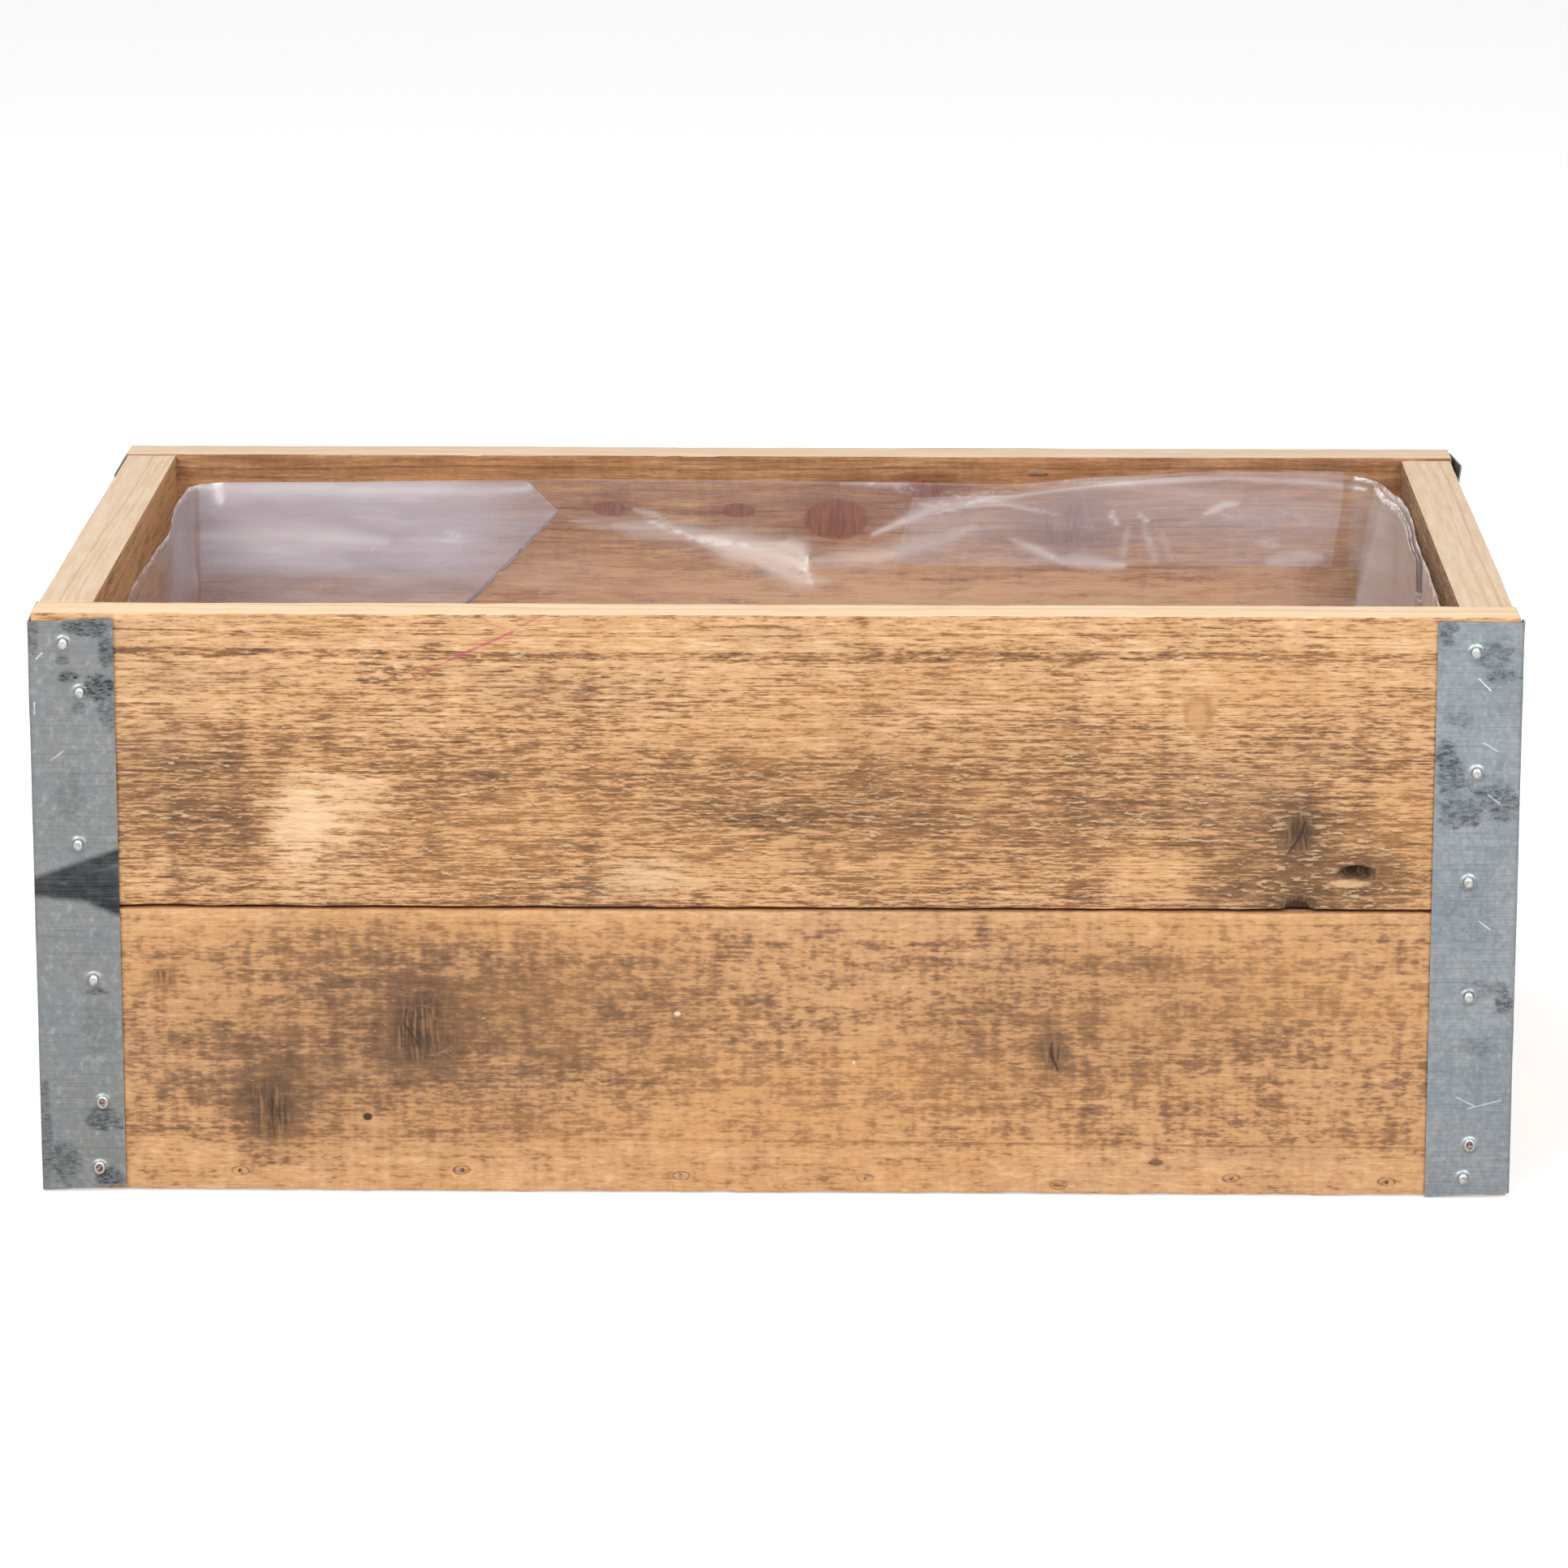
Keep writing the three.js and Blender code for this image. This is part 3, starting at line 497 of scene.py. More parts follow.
def torn_group():
    r, given, made = new_group(
        "Torn fibre", {"Position": ORIGIN, "Length": 14.0, "Height": 2.2, "Cover": 0.0, "Blocks": 0.2,
                       "Streaks": 0.9, "Coarse": 1.1, "Fine": 0.8, "Specks": 0.3},
        ["Dirt", "Streak"])
    place = given["Position"]
    size = r.add("CombineXYZ", {0: given["Length"], 1: given["Height"], 2: given["Height"]}).outputs[0]
    coarse = r.noise(r.vector("DIVIDE", place, size), 4.0, 0.6)
    finer = r.vector("MULTIPLY", r.vector("DIVIDE", place, size), (2.6, 2.6, 2.6))
    fine = r.noise(r.vector("ADD", finer, (7, 3, 5)), 2.0, 0.6)
    specks = r.stretched(place, (2.4, 2.4, 0.9), 9.1, 1.0)
    saw = r.stretched(place, (3.4, 200, 14), 1.3, 1.0)
    streak = r.stretched(place, (30, 2.4, 0.62), 2.7, 4.0, 0.68)
    dirt = given["Cover"]
    layers = ((coarse, "Coarse"), (fine, "Fine"), (saw, "Blocks"), (streak, "Streaks"), (specks, "Specks"))
    for noise, name in layers:
        dirt = r.sum("MULTIPLY_ADD", r.sum("SUBTRACT", noise, 0.5), given[name], dirt)
    r.tree.links.new(dirt, made["Dirt"])
    r.tree.links.new(streak, made["Streak"])
    return r.tree


def fleck_group():
    r, given, made = new_group(
        "Flecks", {"Position": ORIGIN, "Length": 7.0, "Height": 1.0, "Cover": 0.3, "Edge": 0.03,
                   "Lift": 0.0, "Seed": 0.0}, ["Mask", "Chip Shadow"])
    size = r.add("CombineXYZ", {0: given["Length"], 1: given["Height"], 2: given["Height"]}).outputs[0]
    seeded = r.add("CombineXYZ", {0: given["Seed"], 2: given["Seed"]}).outputs[0]
    level = r.sum("MULTIPLY_ADD", given["Cover"], -0.42, 0.7)
    low = r.sum("SUBTRACT", level, given["Edge"])
    high = r.sum("ADD", level, given["Edge"])
    lift = r.add("CombineXYZ", {2: given["Lift"]}).outputs[0]
    masks = []
    for place in (given["Position"], r.vector("ADD", given["Position"], lift)):
        lumps = r.noise(r.vector("ADD", r.vector("DIVIDE", place, size), seeded), 3.0, 0.62)
        masks.append(r.fade(lumps, low, high))
    r.tree.links.new(masks[0], made["Mask"])
    # The second mask is painted shade: the strip just below a chip, where the chip would throw its shadow.
    r.tree.links.new(r.sum("MULTIPLY", masks[1], r.sum("SUBTRACT", 1.0, masks[0])), made["Chip Shadow"])
    return r.tree


def cut_group():
    r, given, made = new_group("Fresh cut", {"Position": ORIGIN, "Top": 203.0, "Uneven": 0.0}, ["Mask"])
    height = r.add("SeparateXYZ", {0: given["Position"]}).outputs["Z"]
    level = r.sum("SUBTRACT", r.sum("MULTIPLY_ADD", given["Uneven"], 1.2, height), given["Top"])
    facing = r.add("SeparateXYZ", {0: r.add("NewGeometry").outputs["Normal"]}).outputs["Z"]
    r.tree.links.new(r.sum("MULTIPLY", r.fade(level, -1.3, -0.6), r.fade(facing, 0.3, 0.7)), made["Mask"])
    return r.tree


GROWTH, TORN_FIBRE, FLECKS, CUT = growth_group(), torn_group(), fleck_group(), cut_group()
print("Groups for fibre:", GROWTH.name, TORN_FIBRE.name, FLECKS.name, CUT.name)

# %% [markdown]
# ### The wood material
# One function mixes every board from the same layers. First it gathers the cover: slow patches, the
# bands of the saw, stains, knots and growth lines. The torn fibre turns it into a level of dirt,
# and a colour ramp with steps turns that into wood, because real dirt sits on a fibre or doesn't.
# Then come chips, knots, marks and the fresh cut along the rim. Each board hands in its own amounts
# and its own list of marks, so no two boards are alike.

# %% Cover of dirt
PALE_CHIP = srgb(242, 208, 165)
SOOT = srgb(62, 48, 40)
CHIP_SHADOW = srgb(104, 74, 50)
STAIN, STRIP = srgb(112, 82, 58), srgb(178, 134, 97)
RED_KNOT = srgb(146, 76, 42)
RED_KNOT_STRENGTHS = (0.25, 0.85, 0.3, 0.2)
BOARD_LENGTH, BOARD_TOP = 500.0, 203.0
CLEANEST, DIRTIEST = -0.5, 0.7
NO_FLECKS = -0.5
BAND_HALF = 4.5
SEED_STEP = (731.0, 97.0, 211.0)


def band_stops(places, width, amount, reach):
    """Stops for narrow bands across a board, where the saw tore the fibre at each stroke."""
    stops = [(reach[0], 0.0)]
    for place in sorted(places):
        stops += [(place - width, 0.0), (place, amount), (place + width, 0.0)]
    return stops + [(reach[1], 0.0)]


def gather_cover(r, place, true_place, uneven, fibre, marks, bands, heights):
    """The cover of dirt on a board, and the masks of its stains, pale patches and knots."""
    cover = r.sum("MULTIPLY_ADD", r.swing(place, (60, 30, 13), 6.1, 2.0), fibre["slow"], fibre["cover"])
    parts = r.add("SeparateXYZ", {0: true_place}).outputs
    if bands:
        reach = (-BOARD_LENGTH / 2, BOARD_LENGTH / 2)
        stops = band_stops(bands, BAND_HALF, fibre["band"], reach)
        cover = r.sum("ADD", cover, r.profile(parts["X"], reach, stops))
    if heights:
        cover = r.sum("ADD", cover, r.profile(parts["Z"], (0, BOARD_TOP), heights))
    stains = []
    for x, z, half_x, half_z, weight in marks["stains"]:
        mask = spot(r, true_place, x, z, half_x, half_z, 1.5, 0.6, uneven)
        stains.append((mask, weight))
        cover = r.sum("MULTIPLY_ADD", mask, weight * 0.7, cover)
    patches = []
    for x, z, half_x, half_z, tint, strength, clears in marks["pale"]:
        mask = spot(r, true_place, x, z, half_x, half_z, 3.2, 0.6, uneven)
        patches.append((mask, tint, strength))
        cover = r.sum("MULTIPLY_ADD", mask, -clears, cover)
    strands = r.swing(place, (1.0, 1.0, 9.0), 2.0, 3.0, 0.6) if marks["knots"] else 0.0
    knots = []
    for x, z, half_x, half_z, soft, tint in marks["knots"]:
        feeds = {"Position": true_place, "Centre": (x, 0.0, z), "Half Size": (half_x, THROUGH, half_z),
                 "Soft": soft, "Uneven": uneven, "Fibre": strands}
        knot = r.use(KNOT, feeds)
        knots.append((knot, tint))
        for part, weight in (("Halo", 0.14), ("Heart", 0.1), ("Fibres", 0.2)):
            cover = r.sum("MULTIPLY_ADD", knot[part], weight, cover)
    return cover, stains, patches, knots


print("Dirt runs from", CLEANEST, "to", DIRTIEST, "in every board")

# %% Colour of the fibre
def fibre_colour(r, place, torn, shades, fibre, stains, patches):
    """The colour of the fibre at each level of dirt, warmer and cooler in places."""
    feeds = {"Value": torn["Dirt"], "From Min": CLEANEST, "From Max": DIRTIEST}
    ramp = r.add("ValToRGB", {0: r.add("MapRange", feeds).outputs["Result"]})
    knees = ramp.color_ramp.elements
    for number, (dirt, shade) in enumerate(shades):
        level = (dirt - CLEANEST) / (DIRTIEST - CLEANEST)
        knee = knees[number] if number < 2 else knees.new(level)
        knee.position = level
        knee.color = shade
    broad = r.stretched(place, (110, 40, 30), 2.2, 2.0, 0.6)
    colour = r.paint(ramp.outputs["Color"], r.fade(broad, 0.4, 0.72), fibre["warm"], 0.3)
    colour = r.paint(colour, r.fade(broad, 0.28, 0.46, 1.0, 0.0), fibre["cool"], 0.22)
    for mask, weight in stains:
        if weight > 0:
            colour = r.paint(colour, mask, STAIN, weight * 2.4)
    for mask, tint, strength in patches:
        broken = r.sum("MULTIPLY", mask, r.fade(torn["Dirt"], 0.0, 0.12, 1.0, 0.25))
        colour = r.paint(colour, broken, tint, strength)
    return colour


def add_flecks(r, colour, height, place, true_place, uneven, cover, fibre, marks, knots):
    """Pale chips, each with a painted shadow below it, and soot, on the boards that have them."""
    if fibre["chips"] > NO_FLECKS:
        chip_cover = r.sum("MULTIPLY_ADD", cover, 0.7, fibre["chips"])
        chips = r.use(FLECKS, {"Position": place, "Cover": chip_cover, "Seed": 17.0, "Length": 6.0,
                               "Height": 1.3, "Edge": 0.03, "Lift": 0.8})
        pale = chips["Mask"]
        for knot, _ in knots:
            pale = r.sum("MULTIPLY", pale, r.sum("SUBTRACT", 1.0, knot["Heart"]))
        # Painted shade: a dark line under each pale chip.
        colour = r.paint(colour, chips["Chip Shadow"], CHIP_SHADOW, 0.5)
        colour = r.paint(colour, pale, PALE_CHIP, 0.5)
        height = r.sum("MULTIPLY_ADD", chips["Mask"], 0.6, height)
    if fibre["soot"] > NO_FLECKS:
        soot_cover = r.sum("MULTIPLY_ADD", cover, 0.3, fibre["soot"])
        for x, z, half_x, half_z, weight in marks["soot"]:
            mask = spot(r, true_place, x, z, half_x, half_z, 0.8, 0.6, uneven)
            soot_cover = r.sum("MULTIPLY_ADD", mask, weight, soot_cover)
        soot = r.use(FLECKS, {"Position": place, "Cover": soot_cover, "Seed": 31.0, "Length": 5.0,
                              "Height": 1.3, "Edge": 0.05})
        colour = r.paint(colour, soot["Mask"], SOOT, 0.65)
    return colour, height


def add_marks(r, colour, height, true_place, grit, fibre, marks, knots):
    """Spots, then knots, and strokes on top."""
    for x, z, half_x, half_z, tint, strength, ragged in marks["spots"]:
        mask = spot(r, true_place, x, z, half_x, half_z, ragged, 0.3, grit)
        colour = r.paint(colour, mask, tint, strength)
    for knot, tint in knots:
        strengths = RED_KNOT_STRENGTHS if tint == RED_KNOT else (0.16, fibre["knots"], 0.5, 0.4)
        for part, shade, strength in zip(("Halo", "Heart", "Fibres", "Pale"), (tint, tint, SOOT, STRIP),
                                         strengths):
            colour = r.paint(colour, knot[part], shade, strength)
        height = r.sum("MULTIPLY_ADD", knot["Fibres"], -0.5, height)
    for x0, z0, x1, z1, width, tint, strength, broken in marks["strokes"]:
        mask = stroke(r, true_place, x0, z0, x1, z1, width, broken, grit)
        colour = r.paint(colour, mask, tint, strength)
    return colour, height

# %% One recipe for all boards
NO_MARKS = {"pale": [], "stains": [], "soot": [], "knots": [], "spots": [], "strokes": []}
FIBRE_AMOUNTS = ("length", "height", "blocks", "streaks", "coarse", "fine", "specks")
SAWN = (srgb(250, 222, 186), srgb(240, 204, 162))
PLANED = (srgb(232, 208, 181), srgb(220, 188, 155))


def wood(name, shades, fibre, growth, marks=NO_MARKS, bands=(), heights=(), along="x", top=None,
         cut=SAWN, shift=0.0):
    """A board's wood, its marks given as lists of places in millimetres with their amounts."""
    marks = {**NO_MARKS, **marks}
    material, r, surface = new_material(name)
    true_place = r.position(along)
    place = true_place
    if shift:
        place = r.vector("ADD", true_place, tuple(shift * step for step in SEED_STEP))
    uneven = r.swing(place, (24, 12, 4), 5.1, 4.0, 0.68)
    grit = r.swing(place, (3.5, 3.5, 2.5), 3.3, 3.0, 0.65)
    cover, stains, patches, knots = gather_cover(r, place, true_place, uneven, fibre, marks, bands, heights)
    year = r.use(GROWTH, {"Position": place, **growth})["Lines"]
    cover = r.sum("MULTIPLY_ADD", year, fibre["lines"], cover)
    amounts = {label.title(): fibre[label] for label in FIBRE_AMOUNTS}
    torn = r.use(TORN_FIBRE, {"Position": place, "Cover": cover, **amounts})

    colour = fibre_colour(r, place, torn, shades, fibre, stains, patches)
    height = r.fade(torn["Dirt"], -0.3, 0.3, 1.0, 0.0)
    colour, height = add_flecks(r, colour, height, place, true_place, uneven, cover, fibre, marks, knots)
    colour, height = add_marks(r, colour, height, true_place, grit, fibre, marks, knots)
    if top is not None:
        fresh = r.use(CUT, {"Position": true_place, "Top": top, "Uneven": grit})["Mask"]
        sawn = r.paint(cut[0], r.fade(torn["Streak"], 0.35, 0.65), cut[1], 0.7)
        sawn = r.paint(sawn, year, srgb(200, 150, 105), 0.6)
        colour = r.paint(colour, fresh, sawn)
        height = r.sum("MULTIPLY", height, r.sum("MULTIPLY_ADD", fresh, -0.7, 1.0))
    bump = r.add("Bump", {"Height": height, "Strength": 0.8, "Distance": 0.3 * MM})
    r.tree.links.new(colour, surface["Base Color"])
    r.tree.links.new(bump.outputs["Normal"], surface["Normal"])
    r.tree.links.new(r.fade(torn["Streak"], 0.3, 0.7, 0.73, 0.93), surface["Roughness"])
    surface["Specular IOR Level"].default_value = 0.3
    return material


print("A board's marks can be", ", ".join(NO_MARKS))

# %% [markdown]
# ### The boards' own finishes
# The upper front board is coarse: close growth lines under many brown flecks, which thin out round
# a pale fresh patch. The lower one is smoother and blotched with grey-brown along old saw bands.
# The inner faces never saw the sun, so they are warmer and darker, and the ends are plainer.

# %% Wood materials for each board
def tones(*steps):
    """Colours for rising levels of dirt, from steps of (level, red, green, blue)."""
    return [(level, srgb(*tone)) for level, *tone in steps]


TORN_SHADES = tones(
    (-0.4, 236, 198, 156), (-0.2, 228, 183, 137), (-0.04, 220, 172, 125), (0.06, 210, 161, 113),
    (0.085, 184, 136, 95), (0.17, 167, 123, 84), (0.19, 146, 106, 74), (0.36, 121, 88, 63),
    (0.5, 82, 62, 48))
SMOOTH_SHADES = tones(
    (-0.4, 225, 182, 137), (-0.16, 211, 164, 118), (0.0, 203, 155, 110), (0.055, 198, 150, 106),
    (0.07, 180, 135, 96), (0.16, 169, 126, 90), (0.18, 150, 112, 81), (0.36, 122, 91, 68),
    (0.56, 86, 66, 53))
INNER_SHADES = tones(
    (-0.4, 218, 172, 128), (-0.15, 194, 146, 104), (0.0, 176, 128, 90), (0.15, 158, 112, 78),
    (0.35, 128, 88, 60), (0.6, 84, 56, 40))
ROUGH_SHADES = tones(
    (-0.4, 214, 178, 142), (-0.15, 184, 148, 116), (0.0, 160, 126, 98), (0.15, 136, 106, 82),
    (0.35, 106, 82, 64), (0.6, 70, 54, 44))
ORANGE, GREY = srgb(216, 158, 98), srgb(168, 136, 108)
TORN = dict(length=10.0, height=1.5, cover=0.01, slow=0.4, blocks=0.14, streaks=0.95, coarse=1.1, fine=0.8,
            specks=0.25, band=0.08, lines=0.28, warm=ORANGE, cool=GREY, chips=0.1, soot=-0.05, knots=0.5)
SMOOTH = dict(length=11.0, height=3.6, cover=0.015, slow=0.35, blocks=0.42, streaks=0.55, coarse=0.8,
              fine=0.6, specks=0.5, band=0.07, lines=0.12, warm=ORANGE, cool=GREY, chips=-0.14,
              soot=NO_FLECKS, knots=0.3)
PLAIN = dict(length=30.0, height=3.0, cover=-0.03, slow=0.5, blocks=0.2, streaks=0.5, coarse=0.9, fine=0.5,
             specks=0.3, band=0.05, lines=0.22, warm=ORANGE, cool=GREY, chips=NO_FLECKS,
             soot=NO_FLECKS, knots=0.85)
BRAD_PLACES = [(-183, 7.3), (-107, 8.0), (-32, 6.3), (31, 5.8), (97, 3.6), (156, 6.3), (209, 5.3)]
END_BRAD_PLACES = [(y, 7.5) for y in (-110.3, -67.4, -21.5, 21.5, 67.4, 110.3)]
DEAD_KNOT = srgb(100, 74, 57)
FRESH = srgb(242, 208, 170)
PINK = srgb(205, 82, 118)
BRAD_HOLE = (2.8, 1.4, SOOT, 0.95, 0.7)

upper_front = wood(
    "upper_front_wood", TORN_SHADES, TORN, {"Spacing": 2.6, "Tilt": 0.25, "Wander": 1.6}, top=BOARD_TOP,
    bands=[-203, -181, -152, -114, -62, 30, 102, 131, 179, 199],
    heights=[(0, 0.0), (203, -0.1), (100, 0.02), (112, 0.04), (130, 0.08), (152, 0.06), (162, 0.0),
             (185, -0.05)],
    marks={
        "stains": [(-205, 140, 34, 20, 0.08), (60, 140, 90, 24, 0.06), (182, 112, 34, 16, 0.16),
                   (176, 130, 14, 14, 0.1), (128, 112, 15, 9, -0.15), (205, 192, 18, 9, -0.1)],
        "pale": [(-158, 128, 13, 17, FRESH, 0.5, 0.28), (-143, 136, 15, 9, FRESH, 0.35, 0.2),
                 (-44, 112, 18, 6, srgb(216, 188, 150), 0.4, 0.14),
                 (128, 112, 14, 8, srgb(218, 164, 108), 0.4, 0.12)],
        "soot": [(-131, 182, 11, 7, 0.5), (-60, 178, 30, 5, 0.25), (80, 188, 60, 5, 0.2)],
        "knots": [(177.0, 128, 4.6, 6.6, 0.45, DEAD_KNOT), (177, 103, 5.6, 4.2, 0.35, DEAD_KNOT),
                  (198, 114.5, 7, 3.0, 0.4, DEAD_KNOT)],
        "spots": [(142.5, 169.5, 5.2, 6.8, srgb(178, 128, 80), 0.7, 0.9),
                  (142.0, 168.8, 3.2, 4.8, srgb(214, 166, 116), 0.8, 0.7),
                  # Painted shade: the next two dark spots fill the hollows where knots fell out.
                  (196.5, 114.3, 5.2, 1.9, srgb(34, 24, 18), 1.0, 0.5),
                  (177, 101.6, 4.6, 2.2, SOOT, 0.9, 0.6),
                  (194, 110.6, 6.5, 1.4, srgb(236, 196, 148), 0.8, 0.8)],
        "strokes": [(-122.8, 179.9, -106, 188.5, 0.5, PINK, 0.6, 0.7),
                    (-107, 188, -88, 196.5, 0.7, PINK, 0.85, 0.35),
                    (-90, 195.8, -77.6, 202.6, 0.5, PINK, 0.55, 0.6),
                    (178.9, 132, 177.5, 127, 0.55, SOOT, 0.9, 0.2),
                    (177.5, 127, 173.6, 121.5, 0.6, SOOT, 0.9, 0.2),
                    (178.3, 129, 179.6, 122.5, 0.4, SOOT, 0.8, 0.3)]})
lower_front = wood(
    "lower_front_wood", SMOOTH_SHADES, SMOOTH, {"Spacing": 4.5, "Tilt": 0.6, "Wander": 3.5}, shift=1.0,
    bands=[-179, -167, -150, -128, -98, -84, -46, 20, 55, 70, 108, 133, 170],
    heights=[(0, -0.16), (203, 0.0), (16, -0.1), (21, 0.03), (60, 0.04), (88, 0.02), (96, -0.08),
             (100, -0.2)],
    marks={
        "stains": [(-130, 58, 74, 34, 0.09), (-124, 58, 26, 16, 0.08), (-168, 34, 20, 16, 0.08),
                   (-60, 66, 50, 18, 0.06), (110, 62, 70, 22, 0.06), (-200, 88, 34, 10, -0.12),
                   (215, 66, 22, 20, -0.06)],
        "knots": [(-121, 58, 8.5, 11, 0.6, DEAD_KNOT), (-172, 29, 6.5, 10, 0.55, DEAD_KNOT),
                  (95, 49.5, 3.4, 5.2, 0.6, DEAD_KNOT), (-207.5, 76, 3.6, 2.9, 0.3, srgb(150, 108, 72))],
        "spots": [(-33, 64, 1.0, 0.8, srgb(240, 225, 215), 0.8, 0.9),
                  (27, 47, 0.6, 0.8, srgb(240, 225, 215), 0.6, 0.9),
                  (130, 12, 2.6, 1.2, SOOT, 0.7, 0.8), (-139, 27, 1.6, 1.3, SOOT, 0.95, 0.4),
                  (94.6, 51.4, 1.0, 2.6, SOOT, 0.95, 2.4), (-122.6, 59.5, 2.2, 3.6, SOOT, 0.7, 2.6),
                  (-171.4, 30, 1.5, 3.4, SOOT, 0.75, 2.6)]
                 + [(x, z, *BRAD_HOLE) for x, z in BRAD_PLACES],
        "strokes": [(0, 19, 225, 17.5, 0.6, srgb(140, 96, 62), 0.6, 0.5),
                    (-225, 20.5, 0, 19, 0.5, srgb(150, 104, 68), 0.45, 0.7),
                    (-125.3, 65, -126, 60, 0.6, SOOT, 0.8, 0.3),
                    (-126, 60, -121.5, 53, 0.6, SOOT, 0.8, 0.3),
                    (94.2, 50, 96.4, 44.6, 0.55, SOOT, 0.9, 0.3)]})
END_MARKS = {"spots": [(y, z, *BRAD_HOLE) for y, z in END_BRAD_PLACES]}
upper_back = wood(
    "upper_back_wood", INNER_SHADES, PLAIN, {"Spacing": 4.0, "Tilt": 0.5, "Wander": 4.5}, top=BOARD_TOP,
    cut=PLANED, shift=2.0,
    # The two broad pale patches are painted light: they brighten the lower inner back wall, which the front
    # wall shades inside the box.
    marks={"pale": [(-20, 138, 150, 22, srgb(226, 180, 138), 0.4, 0.1),
                    (120, 138, 150, 24, srgb(226, 180, 138), 0.5, 0.1)],
           "knots": [(18.2, 178.5, 12.0, 7.8, 0.09, RED_KNOT), (-67.6, 182.2, 6.0, 2.9, 0.12, RED_KNOT),
                     (-18.6, 181.7, 6.2, 2.7, 0.12, RED_KNOT), (51.8, 190, 6.6, 3.4, 0.12, RED_KNOT),
                     (107, 177, 12, 9, 0.4, srgb(146, 88, 58))]})
lower_back = wood(
    "lower_back_wood", INNER_SHADES, PLAIN, {"Spacing": 5.0, "Tilt": 0.5, "Wander": 4.5}, shift=3.0,
    marks={"knots": [(-140, 55, 9, 8, 0.4, DEAD_KNOT), (70, 40, 5, 6, 0.4, DEAD_KNOT)],
           "spots": [(-x, z, *BRAD_HOLE) for x, z in BRAD_PLACES]})
END_WOODS = [("left", "upper", SMOOTH_SHADES, PLAIN, 4.0, 0.9, 202.8),
             ("left", "lower", SMOOTH_SHADES, SMOOTH, 4.5, 0.6, None),
             ("right", "upper", ROUGH_SHADES, TORN, 5.0, 1.1, 202.0),
             ("right", "lower", TORN_SHADES, TORN, 3.5, 0.6, None)]
end_woods = {}
for number, (side, course, colours, fibre, spacing, tilt, top) in enumerate(END_WOODS):
    end_woods[side, course] = wood(
        f"{side}_end_{course}_wood", colours, fibre, {"Spacing": spacing, "Tilt": tilt, "Wander": 3.0},
        END_MARKS if course == "lower" else NO_MARKS, along="y", top=top, cut=PLANED, shift=4.0 + number)
bottom_wood = wood("bottom_wood", SMOOTH_SHADES, SMOOTH, {"Spacing": 4.5, "Tilt": 0.8, "Wander": 4.0},
                   shift=8.0)
print("Wood materials:", len([m for m in bpy.data.materials if m.name.endswith("wood")]))

# %% [markdown]
# ## The boards
# Each board starts as a cube of the node's own size. Its edges are eased by a small bevel, the long
# faces are divided finely, and relief does the rest: slow waves, torn fibre along the board, faint
# saw ridges across it, and ragged edges at the seam. Brads tore small holes near the foot, so the
# face is divided finer there and pushed in. A single flat box would read as plastic.

# %% Board helper
EASE = 0.8 * MM
BRAD_TEAR, BRAD_DEPTH = (3 * MM, 1.6 * MM), 1.3 * MM


def board(node, piece_name, cuts):
    low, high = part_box(node)
    bpy.ops.object.select_all(action="DESELECT")
    bpy.ops.mesh.primitive_cube_add(size=1, location=(low + high) / 2, scale=high - low)
    piece = bpy.context.object
    piece.name = piece_name
    bpy.ops.object.transform_apply(location=True, rotation=True, scale=True)
    choose(piece, "edges", np.ones(len(piece.data.edges), bool))
    edit(piece, bpy.ops.mesh.bevel, offset=EASE, segments=2, affect="EDGES")
    for axis, rounds in cuts.items():
        slice_along(piece, axis, *rounds)
    return piece


def fibre_relief(piece, fibre, depth, seed):
    """Torn fibre, slow waves and saw ridges on a board whose fibre runs along x or y."""
    def grain(along, across):
        return (along, across, across) if fibre == "x" else (across, along, across)

    roughen(piece, grain(0.16, 0.05), 0.5 * MM, shift=seed, mid=0.75)
    roughen(piece, grain(0.018, 0.0022), depth, shift=seed + 0.3, mid=0.8)
    roughen(piece, grain(0.006, 0.03), depth * 0.35, shift=seed + 0.6, mid=0.7)


def ragged_edge(piece, weights, depth, seed):
    roughen(piece, (0.014, 0.014, 0.006), depth, direction="Z", weights=weights, shift=seed, mid=0.0)


def refine(piece, near, rounds=1):
    """Divides the faces at chosen places once more."""
    for _ in range(rounds):
        middles, _ = faces_of(piece)
        choose(piece, "polygons", near(middles))
        edit(piece, bpy.ops.mesh.subdivide, number_cuts=1)


def brad_holes(piece, places, outside, direction, depth):
    """Tears a hole round each brad, its place in millimetres, on the side where outside is true."""
    axes = (0, 2) if direction == "Y" else (1, 2)

    def near(points):
        return np.min([ellipse(points, (along * MM, up * MM), BRAD_TEAR, axes) for along, up in places],
                      axis=0)

    refine(piece, lambda middles: outside(middles) & (near(middles) < 1.2), 2)
    points = points_of(piece)
    push(piece, np.clip(1.35 - near(points) * 1.15, 0, 1) * outside(points), depth, direction)


LONG_FINE = {0: (20, 18), 2: (8, 8), 1: (5,)}
LONG_PLAIN = {0: (13, 13), 2: (6, 6), 1: (3,)}
END_PLAIN = {1: (9, 9), 2: (6, 6), 0: (3,)}
FLOOR_PLAIN = {0: (9, 9), 1: (5, 4), 2: (2,)}
print("Rounds of cuts along a front board:", LONG_FINE)

# %% [markdown]
# The two front boards show most. Their divisions are about one and a quarter millimetres apart, and
# finer still round the knots and brads. The upper one has lost a knot, so its faces are pushed in
# there, and the seam's edges are eaten away unevenly on both boards.

# %% Front boards
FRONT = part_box("front_board_upper")[0].y
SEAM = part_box("front_board_upper")[0].z
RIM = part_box("front_board_upper")[1].z
FACE_DEPTH = 2 * MM
DEAD_KNOTS = [((196.5 * MM, 114.3 * MM), (6.2 * MM, 2.6 * MM), 5.0 * MM),
              ((177 * MM, 101.2 * MM), (5.5 * MM, 3.6 * MM), 3.5 * MM),
              ((177 * MM, 128 * MM), (4.5 * MM, 7.5 * MM), 0.5 * MM)]


def on_front(points):
    return points[:, 1] < FRONT + FACE_DEPTH


